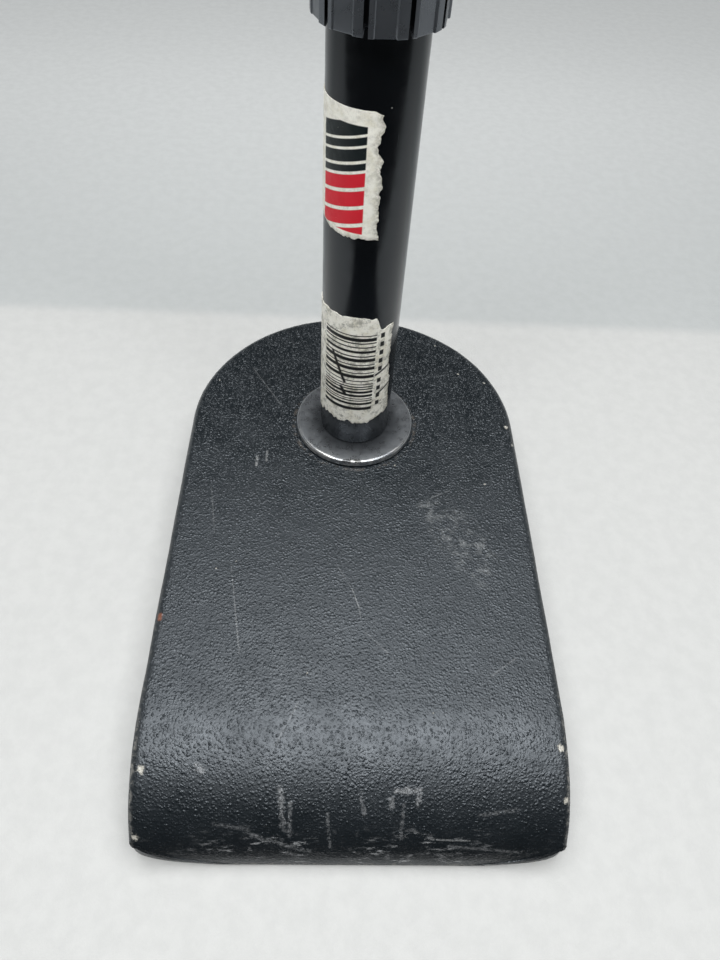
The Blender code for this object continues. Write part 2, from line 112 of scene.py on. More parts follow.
class Nodes:
    """Adds nodes to a tree. The methods take sockets or plain values and return a socket."""

    def __init__(self, tree):
        self.tree = tree
        self.coordinates = self.node("TexCoord").outputs
        self.place = self.coordinates["Generated"]

    def put(self, socket, value):
        """Links a socket to a value that is a socket, or sets it to a plain one."""
        if isinstance(value, bpy.types.NodeSocket):
            self.tree.links.new(value, socket)
        else:
            socket.default_value = value

    def node(self, kind, inputs=None, **settings):
        """A new node, which is returned itself. Its inputs are given by name or number."""
        node = self.tree.nodes.new("ShaderNode" + kind)
        for setting, value in settings.items():
            setattr(node, setting, value)
        for socket, value in (inputs or {}).items():
            self.put(node.inputs[socket], value)
        return node

    def math(self, operation, *values, clamp=False):
        inputs = dict(enumerate(values))
        return self.node("Math", inputs, operation=operation, use_clamp=clamp).outputs[0]

    def times(self, product, *others):
        """The product of all the values."""
        for other in others:
            product = self.math("MULTIPLY", product, other)
        return product

    def most(self, masks):
        """The largest of several masks."""
        result = masks[0]
        for mask in masks[1:]:
            result = self.math("MAXIMUM", result, mask)
        return result

    def part(self, axis, source=None):
        """One coordinate of the place, or of another source."""
        node = self.node("SeparateXYZ", {0: self.place if source is None else source})
        return node.outputs["XYZ".index(axis)]

    def fade(self, value, low, high, out_low=0.0, out_high=1.0):
        """A smooth step from out_low to out_high as value goes from low to high."""
        inputs = dict(enumerate((value, low, high, out_low, out_high)))
        return self.node("MapRange", inputs, interpolation_type="SMOOTHSTEP").outputs[0]


class Look(Nodes):
    """A Principled material and the nodes that feed it, with places in millimetres."""

    def __init__(self, name, metallic=0.0, **fixed):
        self.material = bpy.data.materials.new(name)
        self.material.use_nodes = True
        super().__init__(self.material.node_tree)
        self.shader = self.tree.nodes["Principled BSDF"]
        self.shader.inputs["Metallic"].default_value = metallic
        for socket, value in fixed.items():
            self.shader.inputs[socket.replace("_", " ")].default_value = value
        self.place = self.vector("SCALE", self.coordinates["Object"], scale=1 / MM)
        self.sheet = self.coordinates["UV"]

    def vector(self, operation, a, b=(0.0, 0.0, 0.0), scale=1.0):
        second = {"Scale": scale} if operation == "SCALE" else {1: b}
        node = self.node("VectorMath", {0: a, **second}, operation=operation)
        return node.outputs["Value" if operation in ("LENGTH", "DOT_PRODUCT") else "Vector"]

    def reach(self, axis_y):
        """Distance in plan from the upright axis through x = 0 and y = axis_y."""
        offset = self.vector("SUBTRACT", self.place, (0.0, axis_y, 0.0))
        return self.vector("LENGTH", self.vector("MULTIPLY", offset, (1.0, 1.0, 0.0)))

    def mix(self, share, a, b):
        """Colour a where share is 0 and colour b where it is 1."""
        a, b = (value if isinstance(value, bpy.types.NodeSocket) else (*value, 1.0) for value in (a, b))
        return self.node("Mix", {"Factor": share, 6: a, 7: b}, data_type="RGBA").outputs[2]

    def noise(self, size, detail=3.0, rough=0.55, stretch=(1.0, 1.0, 1.0)):
        """Soft noise with features about size millimetres across."""
        place = self.vector("MULTIPLY", self.place, stretch)
        inputs = {"Vector": place, "Scale": 1 / size, "Detail": detail, "Roughness": rough}
        return self.node("TexNoise", inputs).outputs["Fac"]

    def blots(self, size, detail, rough, *limits):
        """Noise faded between limits, which are fade's."""
        return self.fade(self.noise(size, detail, rough), *limits)

    def cells(self, size):
        """Distance to the nearest of scattered points, and that point's own random number."""
        node = self.node("TexVoronoi", {"Vector": self.place, "Scale": 1 / size})
        return node.outputs["Distance"], self.part("X", node.outputs["Color"])

    def specks(self, size, share, radius):
        """Small round specks: about one cell in 1/share holds one."""
        distance, own = self.cells(size)
        dot = self.fade(distance, radius * 0.6, radius, 1.0, 0.0)
        return self.times(dot, self.math("GREATER_THAN", own, 1.0 - share))

    def stroke(self, start, end, width, ragged=0.0, source=None):
        """A mark along the line between two places, fading over its width."""
        start, run = Vector(start), Vector(end) - Vector(start)
        offset = self.vector("SUBTRACT", self.place if source is None else source, tuple(start))
        along = self.vector("DOT_PRODUCT", offset, tuple(run / max(run.length_squared, 1e-6)))
        along = self.math("ADD", along, 0.0, clamp=True)
        nearest = self.vector("SCALE", tuple(run), scale=along)
        gap = self.vector("LENGTH", self.vector("SUBTRACT", offset, nearest))
        if ragged:
            wobble = self.math("SUBTRACT", self.noise(max(width, 0.6), 4.0, 0.7), 0.5)
            gap = self.math("MULTIPLY_ADD", wobble, ragged, gap)
        return self.fade(gap, width * 0.35, width, 1.0, 0.0)

    def bump(self, height, depth, onto=None):
        """A bump of the given depth in millimetres, on top of another."""
        inputs = {"Distance": depth * MM, "Height": height}
        if onto is not None:
            inputs["Normal"] = onto
        return self.node("Bump", inputs).outputs[0]

    def finish(self, color, roughness, normal=None):
        self.put(self.shader.inputs["Base Color"], color)
        self.put(self.shader.inputs["Roughness"], roughness)
        if normal is not None:
            self.put(self.shader.inputs["Normal"], normal)
        return self.material


def on_top(x, y):
    """The place on the base's top skin above a plan position."""
    cosine = max(-1.0, min(1.0, 1 - (y - FRONT_Y) / ROLL_LENGTH))
    turn = math.acos(cosine) if y < FRONT_Y + ROLL_LENGTH else math.pi / 2
    return (x, y, BASE_TOP - ROLL_DROP * (1 - math.sin(turn)))


# Marks on the base, as plan positions: start, end, width, strength
SCRATCHES = [
    ((-36, 62), (-25, 44), 0.40, 0.10),
    ((-35, -20), (-30, -47), 0.35, 0.16),
    ((-0.5, -27), (1.5, -33), 0.35, 0.24),
    ((1.5, -33), (2.0, -37), 0.30, 0.16),
    ((-4.5, -20), (-0.5, -27), 0.30, 0.10),
    ((-31, 17), (-31, 21), 0.60, 0.30),
    ((-28, 19), (-28, 23), 0.50, 0.22),
    ((18, -88.4), (29, -88.6), 0.40, 0.22),
    ((3, -40), (9, -46), 0.35, 0.14),
    ((-14, -60), (-19, -70), 0.35, 0.10),
    ((24, 6), (30, 9), 0.35, 0.14),
    ((-44, 8), (-41, -9), 0.35, 0.10),
    ((36, -52), (43, -47), 0.35, 0.12),
]
SCUFFS = [
    ((10.7, -79.4), (16.3, -79.4), 1.0, 0.50),
    ((16.3, -79.2), (16.0, -82.0), 0.9, 0.45),
    ((9.5, -81), (9.2, -91.5), 0.9, 0.38),
    ((12.5, -82), (12.0, -88.5), 0.6, 0.22),
    ((-17.4, -79), (-16.5, -86), 1.0, 0.40),
    ((-14.9, -82), (-14.9, -88), 0.7, 0.30),
    ((-37.6, -75), (-36.4, -75.5), 1.3, 0.50),
    ((-24, -88), (-10, -90.5), 0.9, 0.30),
    ((-33, -86), (-25, -87), 0.8, 0.20),
    ((24, -89.5), (42, -90.5), 0.8, 0.26),
    ((-6, -84), (-5, -90), 0.6, 0.25),
    ((2, -80), (3, -84), 0.7, 0.25),
    ((31, -84), (40, -83), 0.7, 0.20),
]
CHIPS = [
    ((51.4, 36.8), 0.8), ((52.7, 28.8), 0.7), ((-51.0, -75.7), 1.2), ((51.5, -69.9), 1.2),
    ((52.3, -81), 1.0), ((-52.0, -88.5), 1.2), ((13.1, 18.7), 0.45), ((-33.7, -18.7), 0.4),
    ((-39.1, -21.2), 0.4), ((30, 76.8), 0.45), ((37.3, 62.1), 0.4), ((46.3, 57.9), 0.45),
    ((41.5, 11.9), 0.5), ((-47, 55), 0.4), ((-12, -52), 0.35), ((20, -62), 0.3),
]


def marks(look, table, ragged):
    """The strongest of a table of strokes on the base's top skin, each with its own strength."""
    strokes = []
    for start, end, width, strength in table:
        mask = look.stroke(on_top(*start), on_top(*end), width, width * ragged)
        strokes.append(look.times(mask, strength))
    return look.most(strokes)


def edge_wear(look, x, y, z):
    """Where the casting's paint is worn: its top side edges, its foot and its rear edge."""
    side = look.fade(look.math("ABSOLUTE", x), HALF_WIDTH - 1.9, HALF_WIDTH - 0.5)
    run = look.math("DIVIDE", look.math("SUBTRACT", y, FRONT_Y), ROLL_LENGTH)
    run = look.math("MINIMUM", look.math("MAXIMUM", run, 0.0), 1.0)
    rise = look.math("SQRT", look.times(run, look.math("SUBTRACT", 2.0, run)))
    skin = look.math("MULTIPLY_ADD", rise, ROLL_DROP, BASE_TOP - ROLL_DROP)
    near_top = look.fade(look.math("SUBTRACT", skin, z), 0.9, 2.4, 1.0, 0.0)
    side = look.times(side, look.fade(y, -72.0, -50.0, 1.0, 0.22), near_top)
    foot = look.times(look.fade(z, 1.6, 3.4, 1.0, 0.0), look.fade(y, -80.0, -60.0, 1.0, 0.35))
    foot = look.times(foot, look.fade(z, 1.0, 1.4, 0.2, 1.0))
    rear = look.fade(look.reach(REAR_CENTRE_Y), HALF_WIDTH - 1.6, HALF_WIDTH - 0.6)
    rear = look.times(rear, look.fade(y, 38.0, 44.0), 0.3)
    return look.times(look.most([side, foot, rear]), look.blots(1.4, 5.0, 0.75, 0.47, 0.58))


def front_rubs(look, x, y, z):
    """Patches of thin rubbed lines low on the front of the roll."""
    lines = look.fade(look.noise(1.3, 5.0, 0.8, stretch=(0.3, 1.0, 1.0)), 0.53, 0.63)
    low_front = look.times(look.fade(z, 2.0, 3.5), look.fade(z, 8.0, 17.0, 1.0, 0.0))
    middle = look.fade(look.math("ABSOLUTE", x), 15.0, 44.0, 1.0, 0.1)
    patchy = look.blots(7.0, 3.0, 0.6, 0.42, 0.58)
    return look.times(lines, low_front, middle, patchy, look.fade(y, -82.0, -74.0, 0.85, 0.0))


def cast_paint():
    """Black paint over rough cast iron, worn pale along the edges and scuffed on the roll."""
    look = Look("cast_iron_black_paint", Specular_IOR_Level=0.9, Specular_Tint=COOL_SHINE)
    x, y, z = (look.part(axis) for axis in "XYZ")
    grit, sand_and_glints = [
        look.times(look.fade(gap, 0.0, 0.7, 1.0, 0.0), own)
        for gap, own in (look.cells(0.85), look.cells(0.52))
    ]
    color = look.mix(look.noise(26.0, 3.0, 0.6), (0.0010, 0.0030, 0.0045), (0.0026, 0.0052, 0.0075))
    # Painted glints: the tops of the sand grains are painted a lighter grey, as highlights on the grain.
    color = look.mix(look.fade(sand_and_glints, 0.35, 0.75, 0.0, 0.6), color, (0.018, 0.023, 0.029))

    pale = look.times(marks(look, SCRATCHES, 1.0), look.blots(1.1, 4.0, 0.7, 0.38, 0.5))
    scuff = look.times(marks(look, SCUFFS, 2.2), look.blots(0.8, 5.0, 0.8, 0.40, 0.60))
    chips = look.most([look.stroke(on_top(*at), on_top(*at), r, r * 2.6) for at, r in CHIPS])
    smudge = look.stroke((26, 1, BASE_TOP), (36, -18, BASE_TOP), 8.5, 11.0)
    smudge = look.times(smudge, look.blots(3.4, 5.0, 0.75, 0.45, 0.66))
    smudge = look.times(smudge, look.blots(0.7, 4.0, 0.7, 0.35, 0.65, 0.4, 1.0))
    worn = edge_wear(look, x, y, z)
    rust = look.stroke((-52.3, -36.3, BASE_TOP - 0.4), (-52.3, -37.2, BASE_TOP - 0.4), 1.0, 1.0)

    # A faint ring that the flange washer has rubbed, a little outside its rim.
    ring = look.vector("LENGTH", look.vector("SUBTRACT", look.place, (0.0, POLE_Y, BASE_TOP)))
    ring = look.math("ABSOLUTE", look.math("SUBTRACT", ring, 20.2))
    ring = look.times(look.fade(ring, 0.2, 0.9, 1.0, 0.0), look.blots(2.2, 4.0, 0.7, 0.47, 0.6))

    for share, shade in (
        (look.times(ring, 0.5), (0.10, 0.085, 0.07)),
        (look.times(smudge, 0.42), (0.30, 0.31, 0.31)),
        (look.most([scuff, front_rubs(look, x, y, z)]), (0.42, 0.43, 0.44)),
        (pale, (0.55, 0.56, 0.56)),
        (look.times(worn, 0.7), (0.30, 0.29, 0.26)),
        (look.times(chips, 0.85), (0.50, 0.48, 0.42)),
        (look.times(rust, 0.8), (0.19, 0.06, 0.025)),
    ):
        color = look.mix(share, color, shade)

    rough = look.blots(9.0, 4.0, 0.6, 0.3, 0.7, 0.36, 0.45)
    rough = look.math("ADD", rough, look.fade(y, -50.0, 60.0, 0.07, -0.08))
    rough = look.math("ADD", rough, look.times(worn, 0.15))
    normal = look.bump(look.noise(2.6, 2.0, 0.5), 0.06)
    normal = look.bump(grit, 0.15, normal)
    normal = look.bump(sand_and_glints, 0.11, normal)
    cut = look.most([pale, chips, worn])
    return look.finish(color, rough, look.bump(look.math("SUBTRACT", 1.0, cut), 0.08, normal))


def gloss_black():
    """Smooth black enamel on steel tube, with dust specks and fine upright rubs."""
    look = Look("tube_black_enamel", Specular_IOR_Level=0.62, Specular_Tint=COOL_SHINE)
    rubs = look.fade(look.noise(0.35, 4.0, 0.7, stretch=(1.0, 1.0, 0.035)), 0.62, 0.75)
    rubs = look.times(rubs, look.fade(look.noise(14.0), 0.45, 0.65))
    specks = look.most([look.specks(3.4, 0.10, 0.05), look.specks(6.5, 0.12, 0.035)])
    color = look.mix(look.noise(12.0), (0.0012, 0.0018, 0.0026), (0.0024, 0.0032, 0.0042))
    color = look.mix(look.times(rubs, 0.12), color, (0.2, 0.2, 0.2))
    color = look.mix(look.times(specks, 0.75), color, (0.5, 0.5, 0.48))
    rough = look.math("ADD", look.blots(5.0, 4.0, 0.6, 0.3, 0.7, 0.16, 0.24), look.times(rubs, 0.15))
    return look.finish(color, rough, look.bump(specks, 0.03, look.bump(look.noise(3.0, 2.0, 0.5), 0.012)))


def grip_black():
    """Black anodised metal with a painted sheen on its ridges and painted shade in its flutes."""
    look = Look("clutch_grip_black", metallic=0.75)
    # Painted light: the ridges get a lighter colour as painted sheen, and the flute floors a near-black one
    # as painted shade.
    ridge_sheen = look.fade(look.reach(POLE_Y), GRIP_HIGH.x - 1.6, GRIP_HIGH.x - 0.5)
    color = look.mix(look.noise(6.0), (0.120, 0.132, 0.148), (0.150, 0.163, 0.182))
    color = look.mix(ridge_sheen, (0.018, 0.020, 0.024), color)
    color = look.mix(look.times(look.specks(3.0, 0.08, 0.04), 0.6), color, (0.4, 0.4, 0.38))
    rough = look.blots(2.5, 4.0, 0.65, 0.3, 0.7, 0.26, 0.34)
    lines = look.bump(look.noise(0.22, 3.0, 0.6, stretch=(0.06, 0.06, 1.0)), 0.006)
    return look.finish(color, rough, look.bump(look.noise(1.2), 0.012, lines))


def gunmetal():
    """Dark plated steel, worn bright along its rim, with painted shade darkening it towards the tube."""
    look = Look("flange_gunmetal", metallic=0.85)
    radius = look.reach(POLE_Y)
    wear = look.fade(radius, FLANGE_HIGH.x - 1.5, FLANGE_HIGH.x - 0.4)
    front = look.fade(look.part("Y"), POLE_Y - 19.0, POLE_Y - 4.0, 1.0, 0.25)
    wear = look.times(wear, look.blots(3.2, 5.0, 0.7, 0.42, 0.6), front)
    # Painted shade: the washer is painted darker towards the tube, where the tube's shadow and reflection
    # fall.
    tube_shade = look.fade(radius, TUBE_RADIUS, FLANGE_HIGH.x - 1.5, 0.2, 1.0)
    color = look.mix(look.noise(4.5, 4.0, 0.6), (0.20, 0.215, 0.235), (0.36, 0.38, 0.40))
    color = look.mix(tube_shade, (0.055, 0.062, 0.070), color)
    color = look.mix(look.times(wear, 0.85), color, (0.62, 0.62, 0.60))
    chips = [
        look.stroke((left, POLE_Y - 18.4, 28.3), (right, POLE_Y - 18.6, 28.3), 0.9, 1.8)
        for left, right in ((-3.4, -1.6), (0.4, 1.4))
    ]
    grime = look.times(look.blots(0.9, 5.0, 0.8, 0.6, 0.72), 0.5)
    grime = look.most([grime, look.times(look.most(chips), 0.85)])
    color = look.mix(grime, color, (0.03, 0.03, 0.03))
    lathe = look.bump(look.math("SINE", look.times(radius, 22.0)), 0.002)
    normal = look.bump(look.noise(0.8, 4.0, 0.7), 0.018, lathe)
    return look.finish(color, look.blots(3.0, 4.0, 0.6, 0.3, 0.7, 0.25, 0.38), normal)


def metal(name, dark, light, low, high):
    """Bare or plated metal: a mottled tint with fine drawn lines."""
    look = Look(name, metallic=1.0)
    color = look.mix(look.noise(3.5, 4.0, 0.6), dark, light)
    rough = look.blots(1.8, 4.0, 0.6, 0.3, 0.7, low, high)
    lines = look.noise(0.5, 4.0, 0.6, stretch=(1.0, 1.0, 0.3))
    return look.finish(color, rough, look.bump(lines, 0.012))


def moulded(name, dark, light, low, high, grain, depth):
    """Moulded plastic or rubber: a slight mottle and a fine matt grain."""
    look = Look(name)
    color = look.mix(look.noise(5.0, 4.0, 0.6), dark, light)
    rough = look.blots(2.0, 4.0, 0.6, 0.3, 0.7, low, high)
    return look.finish(color, rough, look.bump(look.noise(grain, 3.0, 0.6), depth))


def paper(name, printing, grime):
    """Label paper soiled by grime (0 to 1). printing(look, around, up) gives (share, colour)."""
    look = Look(name, Specular_IOR_Level=0.4)
    around, up = look.part("X", look.sheet), look.part("Y", look.sheet)
    spot = look.noise(3.2, 5.0, 0.7)
    color = look.mix(look.fade(spot, 0.4, 0.75), (1.0, 0.985, 0.90), (0.80, 0.77, 0.64))
    color = look.mix(look.blots(0.7, 5.0, 0.8, 0.58, 0.74, 0.0, 0.6), color, (0.34, 0.32, 0.26))
    dirt = look.times(look.blots(2.4, 6.0, 0.8, 0.46, 0.62), grime)
    color = look.mix(dirt, color, (0.30, 0.295, 0.25))
    share, ink = printing(look, around, up)
    rubbed = look.blots(0.8, 5.0, 0.8, 0.66, 0.74, 1.0, 0.25)
    color = look.mix(look.times(share, rubbed), color, ink)
    torn = look.node("Attribute", attribute_name="torn").outputs["Fac"]
    torn = look.times(torn, look.blots(0.9, 5.0, 0.8, 0.35, 0.6))
    color = look.mix(look.times(torn, 0.9), color, (0.33, 0.315, 0.26))
    normal = look.bump(look.noise(0.5, 4.0, 0.7), 0.02)
    normal = look.bump(look.times(torn, look.noise(0.8, 3.0, 0.7)), 0.12, normal)
    return look.finish(color, look.fade(spot, 0.3, 0.7, 0.38, 0.6), normal)


def band(look, value, low, high, soft=0.12):
    """1 between low and high, with soft ends."""
    return look.times(
        look.fade(value, low - soft, low + soft), look.fade(value, high - soft, high + soft, 1.0, 0.0)
    )


def stripes_print(look, around, up):
    """Slanted black stripes above slanted red ones, in the place of a printed name."""
    lean = look.math("MULTIPLY_ADD", around, -0.30, up)
    field = look.times(band(look, around, -13.6, -1.5), band(look, up, 104.2, 130.0))
    blacks = [(129.0, 132.4), (126.6, 128.4), (123.2, 126.0), (120.9, 122.5)]
    reds = [(116.9, 120.2), (112.3, 116.0), (107.8, 111.4), (103.0, 106.8)]
    black, red = (look.most([band(look, lean, *ends) for ends in bars]) for bars in (blacks, reds))
    share = look.times(field, look.most([black, red]))
    scarlet = look.mix(look.noise(4.0), (0.62, 0.004, 0.018), (0.76, 0.012, 0.032))
    return share, look.mix(red, (0.004, 0.010, 0.012), scarlet)


def bars_print(look, around, up):
    """Plain bars of unequal width, with a column of short blocks beside them."""
    draw = random.Random(27)
    bars = []
    height = 43.8
    while height < 73.4:
        width = draw.choice([0.35, 0.45, 0.9, 1.2])
        bars.append(band(look, up, height, height + width, 0.08))
        height += width + draw.choice([0.45, 0.6, 1.0])
    share = look.times(band(look, around, -11.4, 4.4), look.most(bars))
    blocks = []
    for i in range(9):
        low = 45.0 + i * 3.1 + (1.5 if i > 3 else 0.0)
        blocks.append(band(look, up, low, low + 1.7, 0.15))
    column = look.times(band(look, around, 5.6, 6.9), look.most(blocks))
    tears = [((-8.3, 65.0), (-4.2, 55.0), 0.7), ((-5.2, 52.5), (-3.9, 50.0), 0.9),
             ((5.0, 57.6), (11.0, 60.4), 0.55), ((6.0, 49.6), (11.0, 52.0), 0.5)]
    torn = look.most([look.stroke((*a, 0.0), (*b, 0.0), w, w, look.sheet) for a, b, w in tears])
    return look.most([share, column, torn]), (0.010, 0.011, 0.011)


# ---- Mesh helpers ----

def add_object(name, data):
    """An object in the scene, made from a mesh, a light or a camera."""
    made = bpy.data.objects.new(name, data)
    bpy.context.scene.collection.objects.link(made)
    return made


def add_piece(name, mesh, look, body, slot, *nodes):
    """A shown piece on its body, standing for the CAD nodes named."""
    piece = add_object(name, mesh)
    mesh.materials.clear()
    mesh.materials.append(look)
    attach(piece, body)
    if nodes:
        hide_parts(*nodes)
    return piece


def cleaned(mesh, sharp, outwards=False):
    """Welds a mesh, drops its degenerate faces and shades it smooth up to a sharp angle."""
    shape = bmesh.new()
    shape.from_mesh(mesh)
    bmesh.ops.remove_doubles(shape, verts=shape.verts, dist=WELD * MM)
    bmesh.ops.dissolve_degenerate(shape, edges=shape.edges, dist=WELD * MM)
    if outwards:
        bmesh.ops.recalc_face_normals(shape, faces=shape.faces)
        if shape.calc_volume(signed=True) < 0:
            bmesh.ops.reverse_faces(shape, faces=shape.faces)
    shape.to_mesh(mesh)
    shape.free()
    mesh.shade_smooth()
    mesh.set_sharp_from_angle(angle=math.radians(sharp))
    return mesh


def to_mesh(name, points, faces, sharp=35.0):
    """A smooth-shaded mesh from points in millimetres, with faces turned outwards."""
    mesh = bpy.data.meshes.new(name)
    mesh.from_pydata([tuple(point) for point in np.asarray(points) * MM], [], faces)
    return cleaned(mesh, sharp, outwards=True)


def grid_faces(number):
    """Quads between the neighbours in a grid of point numbers."""
    quads = np.stack([number[:-1, :-1], number[:-1, 1:], number[1:, 1:], number[1:, :-1]], -1)
    return [tuple(quad) for quad in quads.reshape(-1, 4).tolist()]


def ring_faces(count, around, looped=False):
    """Quads between neighbouring closed rings. Looped rings close on the first one."""
    number = np.arange(count * around).reshape(count, around)
    number = np.hstack([number, number[:, :1]])
    return grid_faces(np.vstack([number, number[:1]]) if looped else number)


def loft(name, rows, looped, sharp=35.0):
    """Closed rings of points joined in turn. Rings that aren't looped get caps."""
    rows = np.asarray(rows, float)
    count, around = rows.shape[:2]
    points = rows.reshape(-1, 3)
    faces = ring_faces(count, around, looped)
    if not looped:
        for first, end in ((0, rows[0]), ((count - 1) * around, rows[-1])):
            centre = len(points)
            points = np.vstack([points, end.mean(0)])
            for j in range(around):
                faces.append((centre, first + j, first + (j + 1) % around))
    return to_mesh(name, points, faces, sharp)


def ring_row(radius, height, angles, centre=COLUMN):
    """A closed ring of points. The radius and the height may differ from angle to angle."""
    radius, height = (np.broadcast_to(np.asarray(size, float), angles.shape) for size in (radius, height))
    return np.stack(
        [radius * np.cos(angles) + centre[0], radius * np.sin(angles) + centre[1], height], 1
    )


def turned_rows(profile, around, centre=COLUMN):
    """Rings for a turned shape: profile is (radius, height) points."""
    angles = np.linspace(0.0, math.tau, around, endpoint=False)
    return [ring_row(radius, height, angles, centre) for radius, height in profile]


def rounded(profile, radius, steps=4, closed=True):
    """A profile with each corner rounded by an arc-like curve, at most radius along each side."""
    made = []
    count = len(profile)
    for i in range(count):
        here = Vector(profile[i])
        if not closed and i in (0, count - 1):
            made.append(tuple(here))
            continue
        before, after = Vector(profile[i - 1]), Vector(profile[(i + 1) % count])
        into, away = before - here, after - here
        start = here + into.normalized() * min(radius, into.length * 0.45)
        end = here + away.normalized() * min(radius, away.length * 0.45)
        for j in range(steps + 1):
            t = j / steps
            made.append(tuple(start * (1 - t) ** 2 + here * 2 * t * (1 - t) + end * t ** 2))
    return made


def tube_profile(bore, radius, bottom, top):
    return [(bore, bottom), (radius, bottom), (radius, top), (bore, top)]


# ---- The base casting ----

def roll_height(y):
    """The top skin's height at a plan y, also for arrays."""
    cosine = np.clip(1 - (np.asarray(y, float) - FRONT_Y) / ROLL_LENGTH, 0.0, 1.0)
    return BASE_TOP - ROLL_DROP * (1 - np.sqrt(1 - cosine ** 2))


def roll_table():
    """Fine samples along the roll: y and z of the skin, and its unit normal (y, z)."""
    samples = 1200
    turn = np.linspace(0.0, math.pi / 2, samples)
    y = FRONT_Y + ROLL_LENGTH * (1 - np.cos(turn))
    z = BASE_TOP - ROLL_DROP * (1 - np.sin(turn))
    normal = np.stack([-np.cos(turn) / ROLL_LENGTH, np.sin(turn) / ROLL_DROP], 1)
    normal /= np.linalg.norm(normal, axis=1)[:, None]
    return y, z, normal


def base_outline(spacing):
    """The plan outline, anticlockwise from the middle of the front: points, normals and how many
    steps each half has along the front, the side and the rear."""
    arc_steps = 240
    right = []
    for t in np.linspace(0.0, math.pi / 2, arc_steps):
        across, along = math.sin(t) ** (2 / BOW_POWER), math.cos(t) ** (2 / BOW_POWER)
        right.append((HALF_WIDTH - FRONT_BOW + FRONT_BOW * across, FRONT_Y + FRONT_CORNER * (1 - along)))
    for t in np.linspace(0.0, math.pi / 2, arc_steps):
        right.append((HALF_WIDTH * math.cos(t), REAR_CENTRE_Y + HALF_WIDTH * math.sin(t)))
    right = np.array(right)
    length = np.concatenate([[0.0], np.cumsum(np.linalg.norm(np.diff(right, axis=0), axis=1))])
    length = np.concatenate([[0.0], length + HALF_WIDTH - FRONT_BOW])
    right = np.vstack([[0.0, FRONT_Y], right])
    bow = slice(0, arc_steps + 1)
    corner = float(np.interp(FRONT_Y + CORNER_SHARE * FRONT_CORNER, right[bow, 1], length[bow]))
    shoulder = length[-1] - HALF_WIDTH * math.pi / 4
    runs = [(0.0, corner), (corner, shoulder), (shoulder, length[-1])]
    stops = []
    counts = []
    across = round(corner / spacing)
    for count, (low, high) in zip((across, round((shoulder - corner) / spacing), across), runs):
        stops += list(np.linspace(low, high, count, endpoint=False))
        counts.append(count)
    stops.append(length[-1])
    step = 0.05

    def place(at):
        return np.stack([np.interp(at, length, right[:, i]) for i in (0, 1)], 1)

    at = np.array(stops)
    points = place(at)
    tangent = place(np.minimum(at + step, length[-1])) - place(np.maximum(at - step, 0.0))
    normals = np.stack([tangent[:, 1], -tangent[:, 0]], 1)
    normals /= np.linalg.norm(normals, axis=1)[:, None]
    mirror = np.array([-1.0, 1.0])
    points = np.vstack([points, (points[1:-1] * mirror)[::-1]])
    normals = np.vstack([normals, (normals[1:-1] * mirror)[::-1]])
    return points, normals, counts


def unevenness(point, size, seed):
    """Smooth noise from 0 to 1 for the casting's slightly uneven skin."""
    return 0.5 + 0.5 * noise.noise(Vector(point) / size + Vector((seed, seed, seed)))


def coons(front, right, rear, left):
    """A grid of points inside four edges. Ends run left to right, sides front to rear."""
    across, along = len(front), len(right)
    u = np.linspace(0.0, 1.0, across)[None, :, None]
    v = np.linspace(0.0, 1.0, along)[:, None, None]
    sides = (1 - u) * left[:, None, :] + u * right[:, None, :]
    ends = (1 - v) * front[None, :, :] + v * rear[None, :, :]
    bilinear = (
        (1 - u) * (1 - v) * front[0] + u * (1 - v) * front[-1] + (1 - u) * v * rear[0] + u * v * rear[-1]
    )
    return sides + ends - bilinear


